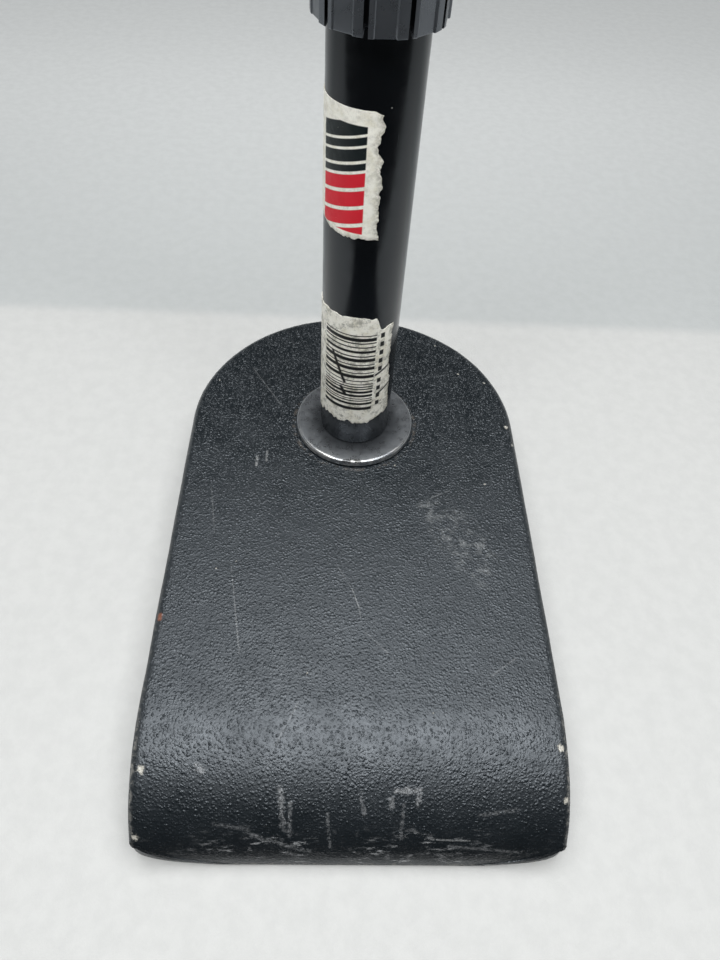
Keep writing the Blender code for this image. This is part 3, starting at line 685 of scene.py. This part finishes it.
def base_skin():
    """The casting's outside: top grid, rounded edge, wall, lower edge and a flat underside."""
    outline, out, counts = base_outline(1.35)
    total = len(outline)
    skin_y, skin_z, skin_normal = roll_table()
    inner_y = skin_y - TOP_EDGE * skin_normal[:, 0]
    inner_z = skin_z - TOP_EDGE * skin_normal[:, 1]
    centre = outline - out * TOP_EDGE
    centre_z = np.interp(centre[:, 1], inner_y, inner_z)
    up = np.stack([np.interp(centre[:, 1], inner_y, skin_normal[:, i]) for i in (0, 1)], 1)
    up /= np.linalg.norm(up, axis=1)[:, None]

    rows = []
    edge_steps = 6
    for step in range(edge_steps + 1):
        row = []
        for i in range(total):
            outward = Vector((out[i, 0], out[i, 1], 0.0))
            upward = Vector((0.0, up[i, 0], up[i, 1]))
            if outward.angle(upward) < 1e-4:
                turned = outward
            else:
                turned = upward.slerp(outward, step / edge_steps)
            row.append(Vector((centre[i, 0], centre[i, 1], centre_z[i])) + turned * TOP_EDGE)
        rows.append(np.array(row))
    rim = rows[-1].copy()
    foot_z = np.minimum(UNDERSIDE + BOTTOM_EDGE, rim[:, 2])
    wall_steps = 14
    for step in range(1, wall_steps + 1):
        row = rim.copy()
        row[:, 2] = rim[:, 2] + (foot_z - rim[:, 2]) * step / wall_steps
        rows.append(row)
    for turn in (30.0, 60.0, 90.0):
        row = rim.copy()
        inset = BOTTOM_EDGE * (1 - math.cos(math.radians(turn)))
        row[:, :2] -= out * inset
        row[:, 2] = foot_z + (UNDERSIDE - foot_z) * math.sin(math.radians(turn))
        rows.append(row)

    # The top grid is laid out on the unrolled skin: x across and arc length along.
    run = np.concatenate([[0.0], np.cumsum(np.hypot(np.diff(skin_y), np.diff(skin_z)))])

    def unroll(points):
        flat = points[:, 1] - skin_y[-1]
        along = np.where(flat > 0, run[-1] + flat, np.interp(points[:, 1], skin_y, run))
        return np.stack([points[:, 0], along], 1)

    border = unroll(rows[0])
    front_half, side, rear_half = counts

    def index(a, b):
        return [i % total for i in range(a, b + 1)]

    half = front_half + side + rear_half
    right_side = index(front_half, front_half + side)
    rear_line = index(front_half + side, front_half + side + 2 * rear_half)
    left_side = index(2 * half - front_half - side, 2 * half - front_half)
    front_line = index(2 * half - front_half, 2 * half + front_half)
    front = border[front_line]
    rear = border[rear_line][::-1]
    grid = coons(front, border[right_side], rear, border[left_side][::-1])

    points = [tuple(p) for row in rows for p in row]
    faces = ring_faces(len(rows), total)
    last = (len(rows) - 1) * total
    faces.append(tuple(range(last, last + total)))
    along, across = grid.shape[:2]
    number = np.zeros((along, across), int)
    number[:, 0], number[:, -1] = left_side[::-1], right_side
    number[0], number[-1] = front_line, rear_line[::-1]
    for a in range(1, along - 1):
        for b in range(1, across - 1):
            x, s = grid[a, b]
            y = skin_y[-1] + s - run[-1] if s > run[-1] else float(np.interp(s, run, skin_y))
            number[a, b] = len(points)
            points.append((x, y, float(roll_height(y))))
    return points, faces + grid_faces(number)


def cast_unevenness(mesh):
    """Sinks the casting's skin by up to a third of a millimetre, in soft hollows."""
    wide, small, ease_in = (0.22, 17.0, 3.1), (0.10, 6.0, 8.4), 3.0
    normals = [vertex.normal.copy() for vertex in mesh.vertices]
    for vertex, normal in zip(mesh.vertices, normals):
        place = vertex.co / MM
        if place.z < UNDERSIDE + 0.1:
            continue
        sink = sum(depth * unevenness(place, size, seed) for depth, size, seed in (wide, small))
        sink *= min(1.0, (place.z - UNDERSIDE) / ease_in)
        vertex.co -= normal * (sink * MM)


def cutter(name, rows, looped=False):
    """A working object for a Boolean: a loft of rings."""
    return add_object(name, loft(name, rows, looped))


def upright(name, radius, bottom, top, at, around=48):
    return cutter(name, turned_rows([(radius, bottom), (radius, top)], around, at))


def cut(target, other):
    """Takes one working object's shape out of another's."""
    step = target.modifiers.new("Difference", "BOOLEAN")
    step.operation = "DIFFERENCE"
    step.solver = "EXACT"
    step.object = other


def settled(name, target, spare, sharp):
    """The mesh that a target's Booleans leave. The target and its cutters are removed."""
    bpy.context.view_layer.update()
    evaluated = target.evaluated_get(bpy.context.evaluated_depsgraph_get())
    made = bpy.data.meshes.new_from_object(evaluated)
    made.name = name
    for piece in {target, *spare}:
        bpy.data.objects.remove(piece)
    return cleaned(made, sharp)


def foot_places():
    """Each foot's CAD node and plan position."""
    places = {}
    for name in ("foot_front_left", "foot_front_right", "foot_rear_left", "foot_rear_right"):
        low, high = corners(name)
        places[name] = ((low.x + high.x) / 2, (low.y + high.y) / 2)
    return places


def pocket_rows():
    """Rings for the hollow underneath, drawn in slightly towards its ceiling."""
    rows = []
    corner = 8.0
    ceiling = BASE_TOP - TOP_PLATE
    for height, draft in ((-1.0, 0.0), (ceiling - 3.0, 0.7), (ceiling - 1.0, 1.3), (ceiling, 3.0)):
        radius = HALF_WIDTH - RIM_WALL - draft
        front = FRONT_Y + FRONT_WALL + draft
        ring = []
        for start, end, steps, centre, size in (
            (-90.0, 0.0, 8, (radius - corner, front + corner), corner),
            (0.0, 180.0, 60, (0.0, REAR_CENTRE_Y), radius),
            (180.0, 270.0, 8, (corner - radius, front + corner), corner),
        ):
            for i in range(steps + 1):
                angle = math.radians(start + (end - start) * i / steps)
                ring.append((centre[0] + size * math.cos(angle), centre[1] + size * math.sin(angle), height))
        rows.append(ring)
    return rows


def build_base(look):
    """The casting as one piece, with its hollow, boss, pads, bolt hole and foot recesses."""
    below, inside = -2.0, 40.0
    points, faces = base_skin()
    mesh = to_mesh("base_casting_skin", points, faces)
    cast_unevenness(mesh)
    rough = add_object("base_rough", mesh)
    pocket = cutter("pocket", pocket_rows())
    boss = upright("boss", BOSS_RADIUS, BOSS_BOTTOM, inside, COLUMN, 64)
    cut(pocket, boss)
    spare = [rough, pocket, boss]
    for name, spot in foot_places().items():
        if "rear" in name:
            pad = upright(name + "_pad", FOOT_PAD, -5.0, inside, spot)
            cut(pocket, pad)
            spare.append(pad)
    cut(rough, pocket)
    hole = upright("bolt_hole", BOLT_HOLE, below, inside, COLUMN)
    cut(rough, hole)
    spare.append(hole)
    for name, spot in foot_places().items():
        high = corners(name)[1]
        recess = upright(name + "_recess", high.x - spot[0] + GAP, below, high.z + GAP, spot)
        cut(rough, recess)
        spare.append(recess)
    made = settled("base_casting_skin", rough, spare, 42.0)
    return add_piece("base_casting_skin", made, look, "stand", "cast_iron_black", "base_casting")


# ---- Column, clutch and fittings ----

def add_turned(name, profile, around, look, body, slot, node, centre=COLUMN, looped=True):
    """A turned piece, standing for one CAD node."""
    mesh = loft(name, turned_rows(profile, around, centre), looped)
    return add_piece(name, mesh, look, body, slot, node)


def build_round_pieces(looks):
    """The turned pieces that show: tubes, flange, dust ring, feet."""
    tube = rounded(tube_profile(TUBE_BORE, TUBE_RADIUS, TUBE_LOW.z, TUBE_HIGH.z), 0.35)
    add_turned("outer_tube_enamelled", tube, 128, looks["gloss"], "stand", "tube_black", "outer_tube")
    mast = rounded(tube_profile(MAST_BORE, MAST_RADIUS, MAST_LOW.z, MAST_HIGH.z), 0.35)
    add_turned("inner_tube_enamelled", mast, 112, looks["gloss"], "mast", "tube_black", "inner_tube")

    radius, low, high, edge = FLANGE_HIGH.x, FLANGE_LOW.z, FLANGE_HIGH.z, 0.9
    face = high - 0.05
    flange = [(BOLT_HOLE, low), (radius - 0.2, low), (radius, low + 0.25), (radius, high - 1.0)]
    for turn in range(15, 91, 15):
        angle = math.radians(turn)
        flange.append((radius - edge + edge * math.cos(angle), high - edge + edge * math.sin(angle)))
    flange += [(15.0, face), (TUBE_RADIUS + 0.6, face), (BOLT_HOLE, face)]
    add_turned(
        "flange_washer_worn", flange, 144, looks["flange"], "stand", "flange_gunmetal", "flange_washer"
    )

    dust = rounded(tube_profile(MAST_RADIUS + 0.5, DUST_HIGH.x, DUST_LOW.z, DUST_HIGH.z), 0.7, 6)
    add_turned("dust_ring_moulded", dust, 112, looks["rubber"], "grip", "black_rubber", "dust_ring")
    for name, spot in foot_places().items():
        high = corners(name)[1]
        size = high.x - spot[0]
        foot = rounded([(size, high.z), (size, 0.5), (size - 0.5, 0.0), (1.0, 0.0)], 0.4, 3, False)
        add_turned(
            name + "_moulded", foot, 48, looks["rubber"], "stand", "black_rubber", name, spot, False
        )


def thread_rows(major, pitch, depth, bottom, top, angles, blank=0.6, chamfer=0.8, rows_a_turn=12):
    """Rings of a helical thread between two heights, fading in over a blank length."""
    rows = []
    for height in np.arange(bottom, top, pitch / rows_a_turn):
        phase = (height / pitch - angles / math.tau) % 1.0
        groove = np.clip(1.35 * (1 - np.abs(2 * phase - 1)) - 0.12, 0.0, 1.0)
        fade = min(1.0, max(0.0, (height - bottom - blank) / pitch))
        radius = np.minimum(major - depth * groove * fade, major - chamfer + (top - height))
        rows.append(ring_row(radius, height, angles))
    rows.append(ring_row(major - chamfer - 0.05, top, angles))
    return rows


def build_threaded_end(look):
    """The 5/8 inch end, 27 turns to the inch, with its spigot inside the inner tube."""
    angles = np.linspace(0.0, math.tau, 108, endpoint=False)
    bottom, top, low = MAST_HIGH.z + GAP, THREAD_HIGH.z, THREAD_LOW.z
    major, spigot, bore = THREAD_HIGH.x, MAST_BORE - GAP, INSERT_BORE
    inside = [(bore + 0.4, top), (bore, top - 0.4), (bore, low + 0.3)]
    outside = [(bore + 0.3, low), (spigot - 0.4, low), (spigot, low + 0.4), (spigot, bottom - 0.05),
               (spigot, bottom), (major - 0.2, bottom), (major, bottom + 0.2)]
    rows = turned_rows(outside, len(angles))
    rows += thread_rows(major, INCH / 27, 0.52, bottom + 0.4, top, angles, 0.8)
    rows += turned_rows(inside, len(angles))
    mesh = loft("threaded_end_cut", rows, True, 50.0)
    return add_piece("threaded_end_cut", mesh, look, "mast", "zinc_steel", "threaded_end")


def build_bolt(look):
    """The M10 hexagon bolt, head down in the hollow, with its thread up through the column."""
    low, high = corners("base_bolt")
    flats, head, radius, pitch, thread_depth = 17.0, 6.4, 5.0, 1.5, 0.85
    angles = np.linspace(0.0, math.tau, 72, endpoint=False)
    hexagon = flats / 2 / np.cos((angles % (math.pi / 3)) - math.pi / 6)
    rows = turned_rows([(0.5, low.z), (flats / 2 - 0.5, low.z)], len(angles))
    for rise in (0.05, 0.2, 0.4, 0.6, 0.8, 1.0):
        rows.append(ring_row(np.minimum(hexagon, flats / 2 - 0.45 + rise * 1.75), low.z + rise, angles))
    under = low.z + head
    rows += [ring_row(hexagon, under - 0.15, angles), ring_row(hexagon - 0.15, under, angles)]
    rows += turned_rows([(radius + 0.3, under), (radius, under + 0.3)], len(angles))
    rows += thread_rows(radius, pitch, thread_depth, under + 2.0, high.z, angles, 1.0, 1.0, 8)
    mesh = loft("base_bolt_threaded", rows, False, 32.0)
    return add_piece("base_bolt_threaded", mesh, look, "stand", "zinc_steel", "base_bolt")


def slab(name, length, width, bottom, top, turn, shift=(0.0, 0.0), lean=0.0):
    """A cutter: a block across the column's axis, turned about it, its top leaning sideways."""
    rows = []
    for height, slide in ((bottom, -lean), (top, lean)):
        ring = []
        for x, y in ((-length, -width), (length, -width), (length, width), (-length, width)):
            place = Matrix.Rotation(turn, 2) @ Vector((x / 2 + shift[0], y / 2 + shift[1] + slide))
            ring.append((place.x, place.y + POLE_Y, height))
        rows.append(ring)
    return cutter(name, rows)


def build_inner_rings(looks):
    """Washers, plug, ferrule, collet, bush and thrust washer: what the column holds inside."""
    def profile(node, bore):
        low, high = corners(node)
        return tube_profile(bore, high.x, low.z, high.z)

    ferrule_low, ferrule_high = corners("clutch_ferrule")
    collet_low, collet_high = corners("clutch_collet")
    bush_low, bush_high = corners("guide_bush")
    slide_bore, seat_low, seat_high, seat_z = 8.3, 9.2, 10.5, collet_low.z - GAP
    sleeve, spigot, collar_z = TUBE_BORE - GAP, MAST_BORE - GAP, MAST_LOW.z - GAP
    rings = [
        ("base_flat_washer", profile("base_flat_washer", BOLT_HOLE), "zinc", "stand", "zinc_steel"),
        ("tube_plug", profile("tube_plug", 5.3), "zinc", "stand", "zinc_steel"),
        ("thrust_washer", profile("thrust_washer", 8.8), "brass", "lifter", "brass"),
        ("clutch_ferrule", [
            (slide_bore, ferrule_low.z), (sleeve, ferrule_low.z), (sleeve, TUBE_HIGH.z + GAP),
            (ferrule_high.x, TUBE_HIGH.z + GAP), (ferrule_high.x, ferrule_high.z),
            (seat_high, ferrule_high.z), (seat_low, seat_z), (slide_bore, seat_z),
        ], "zinc", "stand", "zinc_steel"),
        ("guide_bush", [
            (INSERT_BORE, bush_low.z), (bush_high.x, bush_low.z), (bush_high.x, collar_z),
            (spigot, collar_z), (spigot, bush_high.z), (INSERT_BORE, bush_high.z),
        ], "nylon", "guide", "white_nylon"),
    ]
    for node, outline, finish, body, slot in rings:
        outline = rounded(outline, EASED, 3)
        add_turned(node + "_turned", outline, RING_STEPS, looks[finish], body, slot, node)

    outline = [
        (slide_bore, collet_low.z), (seat_low - GAP, collet_low.z), (seat_high - GAP, ferrule_high.z),
        (seat_high - GAP, collet_high.z), (slide_bore, collet_high.z),
    ]
    rough = cutter("collet_rough", turned_rows(rounded(outline, EASED, 3), RING_STEPS), True)
    slots = []
    for i in range(2):
        turn = math.radians(45 + 90 * i)
        slots.append(slab(f"collet_slot_{i}", 40.0, 0.8, collet_low.z + 1.5, collet_high.z + 2.0, turn))
        cut(rough, slots[-1])
    mesh = settled("clutch_collet_slotted", rough, slots, 35.0)
    add_piece("clutch_collet_slotted", mesh, looks["nylon"], "stand", "white_nylon", "clutch_collet")

    low, high = corners("base_lock_washer")
    outline = rounded(profile("base_lock_washer", BOLT_HOLE), 0.3, 3)
    rough = cutter("lock_rough", turned_rows(outline, RING_STEPS), True)
    split = slab("lock_split", 9.0, 1.2, low.z - 1.0, high.z + 1.0, 0.0, (9.0, 0.0), 1.0)
    cut(rough, split)
    mesh = settled("base_lock_washer_split", rough, [split], 35.0)
    add_piece("base_lock_washer_split", mesh, looks["zinc"], "stand", "zinc_steel", "base_lock_washer")


FLUTES = 10
FLUTE_FLOOR = 13.0      # the distance of a flute's flat floor from the axis
FLUTE_FLOOR_HALF = 1.1  # half the widths of its floor and of its mouth
FLUTE_MOUTH_HALF = 2.4
FLUTE_TURN = math.radians(-87.0)
GRIP_BORE = 11.5
GRIP_MOUTH = 13.9       # the bore widens to this radius over the lowest GRIP_FLARE
GRIP_FLARE = 2.9
SHOULDER_BORE = 8.8     # the narrow bore above the shoulder
SHOULDER_Z = 193.8


def smooth_lower(a, b, blend):
    """The smaller of two arrays, blended where they are close."""
    share = np.clip(0.5 + 0.5 * (b - a) / blend, 0.0, 1.0)
    return b * (1 - share) + a * share - blend * share * (1 - share)


def build_grip(look):
    """The clutch's grip: ten milled flutes that open as notches at the flared lower rim."""
    radius = GRIP_HIGH.x
    bottom, top = GRIP_LOW.z, GRIP_HIGH.z
    half_turn = math.pi / FLUTES
    floor_edge = math.atan(FLUTE_FLOOR_HALF / FLUTE_FLOOR)
    mouth_edge = math.asin(FLUTE_MOUTH_HALF / radius)
    stops = [0.0, 0.5 * floor_edge, floor_edge - 0.022]
    stops += list(np.linspace(floor_edge - 0.012, floor_edge + 0.012, 5))
    stops += list(np.linspace(floor_edge + 0.022, mouth_edge - 0.026, 4))
    stops += list(np.linspace(mouth_edge - 0.016, mouth_edge + 0.016, 6))
    stops += [mouth_edge + 0.03, (mouth_edge + half_turn) / 2]
    side = np.array(stops)
    local = np.concatenate([side, [half_turn], -side[:0:-1]])
    turns = np.concatenate([local + math.tau * i / FLUTES for i in range(FLUTES)])
    local = np.abs(np.tile(local, FLUTES))

    mouth = np.array([math.sqrt(radius ** 2 - FLUTE_MOUTH_HALF ** 2), FLUTE_MOUTH_HALF])
    foot = np.array([FLUTE_FLOOR, FLUTE_FLOOR_HALF])
    floor = FLUTE_FLOOR / np.cos(local)
    wall = -smooth_lower(-floor, -line_radius(local, foot, mouth), 0.10)
    section = smooth_lower(wall, np.full_like(wall, radius), 0.14)

    angles = turns + FLUTE_TURN

    def row(size, height):
        return ring_row(size, height, angles)

    def flared(height):
        share = np.clip((height - bottom) / GRIP_FLARE, 0.0, 1.0)
        return GRIP_MOUTH - (GRIP_MOUTH - GRIP_BORE) * share

    lip = 0.2
    thin = np.minimum(section - lip, GRIP_MOUTH)
    start = bottom + GRIP_FLARE * (GRIP_MOUTH - thin) / (GRIP_MOUTH - GRIP_BORE)
    rows = []
    for rise, inset in ((0.0, 0.16), (0.06, 0.07), (0.16, 0.02), (0.3, 0.0)):
        rows.append(row(section - inset, start + rise))
    run_out = 3.0
    body_top = top - 9.0
    for share in np.linspace(0.08, 1.0, 14):
        rows.append(row(section, (start + 0.3) * (1 - share) + body_top * share))
    for share in np.linspace(0.1, 1.0, 12):
        depth = (radius - section) * math.sqrt(max(0.0, 1 - share ** 2))
        rows.append(row(radius - depth, body_top + run_out * share))
    for turn in range(0, 91, 15):
        angle = math.radians(turn)
        rows.append(row(radius - 1.0 + math.cos(angle), top - 1.0 + math.sin(angle)))
    recess, recess_z = DUST_HIGH.x + GAP, DUST_LOW.z - GAP
    for size, height in (
        (recess + 0.3, top), (recess, top - 0.3), (recess, recess_z), (SHOULDER_BORE, recess_z),
        (SHOULDER_BORE, SHOULDER_Z), (GRIP_BORE, SHOULDER_Z), (GRIP_BORE, bottom + GRIP_FLARE + 2.0),
    ):
        rows.append(row(size, height))
    for share in np.linspace(0.0, 1.0, 7):
        height = (bottom + GRIP_FLARE) * (1 - share) + start * share
        rows.append(row(np.minimum(flared(height), section - lip), height))
    mesh = loft("clutch_grip_fluted", rows, True, 32.0)
    return add_piece("clutch_grip_fluted", mesh, look, "grip", "grip_black", "clutch_grip")


def line_radius(angle, a, b):
    """The distance from the axis, at each angle, of the line through two points."""
    run = b - a
    cross = a[0] * run[1] - a[1] * run[0]
    return cross / (np.cos(angle) * run[1] - np.sin(angle) * run[0])


def build_label(name, look, node, outline, seed):
    """A thin paper label on the tube, with torn edges.

    outline gives, as functions of a share from 0 to 1, the left and right angles by height and
    the bottom and top heights by angle share, then how ragged these four edges are. Angles are
    degrees to the right of the front.
    """
    left, right, bottom, top, ragged = outline
    across, along = 150, 110
    tube_shade, thick = TUBE_RADIUS + 0.03, 0.16
    side_fray, foot_fray, blister = 1.6, 1.2, 0.05
    grid = np.zeros((along + 1, across + 1, 3))
    sheet = np.zeros((along + 1, across + 1, 2))
    torn = np.zeros((along + 1, across + 1))
    lift = np.zeros((along + 1, across + 1))
    for j in range(along + 1):
        v = j / along
        for i in range(across + 1):
            u = i / across
            start = left(v) + ragged[0] * jitter(v * 31, seed)
            end = right(v) + ragged[1] * jitter(v * 37, seed + 5)
            angle = start + (end - start) * u
            low = bottom(u) + ragged[2] * jitter(u * 29, seed + 9)
            high = top(u) + ragged[3] * jitter(u * 27, seed + 13)
            height = low + (high - low) * v
            turn = math.radians(angle - 90.0)
            grid[j, i] = (math.cos(turn), math.sin(turn), height)
            sheet[j, i] = (math.radians(angle) * TUBE_RADIUS, height)
            near = min((1 - u) * math.radians(end - start) * TUBE_RADIUS / side_fray, 1.0)
            foot = min((height - low) / foot_fray, 1.0)
            torn[j, i] = max(1 - near, (1 - foot) * 0.8, 0.0)
            lift[j, i] = blister * max(0.0, jitter(i * 0.13 + j * 0.21, seed + 20))
    points = []
    for radius in (tube_shade + thick + lift, np.full_like(lift, tube_shade)):
        layer = grid.copy()
        layer[..., 0] *= radius
        layer[..., 1] = layer[..., 1] * radius + POLE_Y
        points.append(layer.reshape(-1, 3))
    count = (along + 1) * (across + 1)
    number = np.arange(count).reshape(along + 1, across + 1)
    faces = []
    for quad in grid_faces(number):
        faces.append(quad)
        faces.append(tuple(count + k for k in reversed(quad)))
    for line in (number[0], number[:, -1]):
        faces += [(b, a, count + a, count + b) for a, b in zip(line[:-1].tolist(), line[1:].tolist())]
    for line in (number[-1], number[:, 0]):
        faces += [(b, a, count + a, count + b) for a, b in zip(line[1:].tolist(), line[:-1].tolist())]
    mesh = to_mesh(name, np.vstack(points), faces, 50.0)
    layer = mesh.uv_layers.new(name="sheet")
    flat = np.vstack([sheet.reshape(-1, 2)] * 2)
    order = np.zeros(len(mesh.loops), int)
    mesh.loops.foreach_get("vertex_index", order)
    layer.data.foreach_set("uv", flat[order].astype(np.float32).ravel())
    mark = mesh.attributes.new("torn", "FLOAT", "POINT")
    mark.data.foreach_set("value", np.tile(torn.reshape(-1), 2).astype(np.float32))
    return add_piece(name, mesh, look, "stand", "label_paper", node)


def jitter(place, seed):
    """Ragged noise about 0 along a line."""
    coarse = noise.noise(Vector((place * 0.35, seed, 0.3)))
    fine = noise.noise(Vector((place, seed, 4.7)))
    return coarse + 0.6 * fine


def build_labels():
    """The upper label with its stripes and the lower one with its bars."""
    def ease(value, low, high):
        share = min(1.0, max(0.0, (value - low) / (high - low)))
        return share * share * (3 - 2 * share)

    upper = (
        lambda v: -100.0 + 22.0 * (1 - ease(v, 0.0, 0.18)),
        lambda v: 11.5 - 5.0 * ease(v, 0.55, 0.75) + 4.0 * ease(v, 0.82, 0.9),
        lambda u: 102.9 + 1.6 * (1 - ease(u, 0.0, 0.35)),
        lambda u: 133.3 - 0.8 * ease(u, 0.9, 1.0),
        (3.0, 4.0, 0.5, 0.05),
    )
    look = paper("upper_label_paper", stripes_print, 0.25)
    build_label("upper_label_printed", look, "upper_label", upper, 2.0)
    lower = (
        lambda v: -107.0,
        lambda v: 59.0 - 6.0 * ease(v, 0.3, 0.6) - 3.0 * ease(v, 0.1, 0.2),
        lambda u: 37.8 + 2.6 * ease(u, 0.66, 0.97),
        lambda u: 78.7 - 0.9 * ease(0.5 - u, 0.0, 0.5) - 4.2 * ease(u, 0.80, 0.87),
        (1.0, 3.0, 1.8, 0.6),
    )
    look = paper("lower_label_paper", bars_print, 0.75)
    build_label("lower_label_printed", look, "lower_label", lower, 7.0)


# ---- Studio ----

EYE = Vector((-7.46, -129.0, 203.25))
YAW, PITCH, ROLL = -0.0659, 0.8974, 0.0794
LENS = 27.05
FLOOR_FOLD = 123.0               # the floor's paper changes tone this far behind the origin
SURROUNDINGS = (0.97, 1.0, 1.0)  # the colour of the studio's surroundings
SEEN_GLOW = 0.6                  # the brightness of the far floor and of what is beyond it


def build_camera():
    """A wide lens above the front of the base, looking down at it, slightly rolled."""
    level = Vector((math.cos(YAW), math.sin(YAW), 0.0))
    ahead = Vector((-math.sin(YAW) * math.cos(PITCH), math.cos(YAW) * math.cos(PITCH), -math.sin(PITCH)))
    lift = level.cross(ahead)
    right = level * math.cos(ROLL) + lift * math.sin(ROLL)
    up = lift * math.cos(ROLL) - level * math.sin(ROLL)
    data = bpy.data.cameras.new("camera")
    data.lens = LENS
    data.sensor_width = 36.0
    data.clip_start = 0.01
    camera = add_object("camera", data)
    turn = Matrix((right, up, -ahead)).transposed()
    camera.matrix_world = Matrix.Translation(EYE * MM) @ turn.to_4x4()
    bpy.context.scene.camera = camera


def add_card(name, material, side, front, rear, height):
    """A level rectangle, sized in metres."""
    mesh = bpy.data.meshes.new(name)
    points = [(-side, front), (side, front), (side, rear), (-side, rear)]
    mesh.from_pydata([(x, y, height) for x, y in points], [], [(0, 1, 2, 3)])
    mesh.materials.append(material)
    return add_object(name, mesh)


def build_floor():
    """A pale floor, painted darker just behind the object's fold and lighter further back as the painted
    shade and light of a backdrop, that glows softly far away like a cove.
    """
    look = Look("floor_paper")
    away = look.part("Y")
    tone = look.fade(away, FLOOR_FOLD - 4.0, FLOOR_FOLD + 4.0)
    # Painted light and shade: behind the fold the floor is painted darker at the fold and lighter with
    # distance, standing in for a lit backdrop.
    backdrop_light_and_shade = look.fade(away, FLOOR_FOLD, FLOOR_FOLD + 260.0)
    backdrop_light_and_shade = look.mix(backdrop_light_and_shade, (0.45, 0.47, 0.47), (0.64, 0.66, 0.66))
    color = look.mix(tone, (0.54, 0.548, 0.54), backdrop_light_and_shade)
    color = look.mix(look.blots(5.0, 4.0, 0.6, 0.3, 0.7, 0.0, 0.10), color, (0.24, 0.25, 0.25))
    look.shader.inputs["Emission Color"].default_value = (*SURROUNDINGS, 1.0)
    glow = look.fade(look.vector("LENGTH", look.place), 300.0, 1500.0, 0.0, SEEN_GLOW)
    look.put(look.shader.inputs["Emission Strength"], glow)
    material = look.finish(color, 0.9, look.bump(look.noise(1.2, 4.0, 0.7), 0.1))
    floor = add_card("floor", material, 4.0, -4.0, 4.0, 0.0)


def build_flag():
    """A black card on the floor in front, seen only by reflections, as a photographer's flag."""
    look = Look("flag_card")
    color = look.mix(look.noise(30.0), (0.01, 0.01, 0.01), (0.014, 0.014, 0.014))
    flag = add_card("flag", look.finish(color, 0.9), 0.7, -1.6, -0.0945, 0.002)
    flag.visible_camera = False
    flag.visible_diffuse = False
    flag.visible_shadow = False


def area_light(name, at, aim, size, power):
    """A rectangular soft light, placed and aimed in metres."""
    data = bpy.data.lights.new(name, "AREA")
    data.shape = "RECTANGLE"
    data.size, data.size_y = size
    data.energy = power
    light = add_object(name, data)
    light.location = at
    light.rotation_euler = (Vector(aim) - Vector(at)).to_track_quat("-Z", "Y").to_euler()


def build_world():
    """Pale surroundings, darker towards the viewer's side and higher up."""
    world = bpy.data.worlds.new("studio")
    bpy.context.scene.world = world
    world.use_nodes = True
    background = world.node_tree.nodes["Background"]
    sky = Nodes(world.node_tree)
    glow = sky.times(
        sky.fade(sky.part("Y"), -0.7, 0.1, 0.05, 1.0), sky.fade(sky.part("Z"), 0.10, 0.45, 0.85, 0.05)
    )
    seen = sky.node("LightPath").outputs["Is Camera Ray"]
    strength = sky.node("Mix", {"Factor": seen, 2: glow, 3: SEEN_GLOW}, data_type="FLOAT")
    sky.put(background.inputs["Strength"], strength.outputs[0])
    background.inputs["Color"].default_value = (*SURROUNDINGS, 1.0)


def main():
    looks = {
        "cast": cast_paint(),
        "gloss": gloss_black(),
        "grip": grip_black(),
        "flange": gunmetal(),
        "zinc": metal("zinc_steel_drawn", (0.36, 0.36, 0.35), (0.52, 0.52, 0.50), 0.28, 0.42),
        "brass": metal("brass_turned", (0.50, 0.34, 0.12), (0.66, 0.47, 0.19), 0.25, 0.38),
        "nylon": moulded("nylon_natural", (0.66, 0.65, 0.60), (0.76, 0.75, 0.71), 0.4, 0.55, 0.6, 0.01),
        "rubber": moulded(
            "rubber_black", (0.016, 0.016, 0.017), (0.030, 0.030, 0.031), 0.62, 0.8, 0.35, 0.02
        ),
    }
    build_camera()
    build_base(looks["cast"])
    build_round_pieces(looks)
    build_inner_rings(looks)
    build_bolt(looks["zinc"])
    build_threaded_end(looks["zinc"])
    build_grip(looks["grip"])
    build_labels()
    build_floor()
    build_world()
    area_light("softbox", (0.0, -0.01, 0.72), (0.0, -0.01, 0.0), (0.68, 0.58), 6.4)
    area_light("strip", (0.0, -0.25, 0.72), (0.0, -0.05, 0.0), (0.68, 0.13), 2.9)
    build_flag()
    bpy.context.scene.view_settings.view_transform = "Standard"


main()
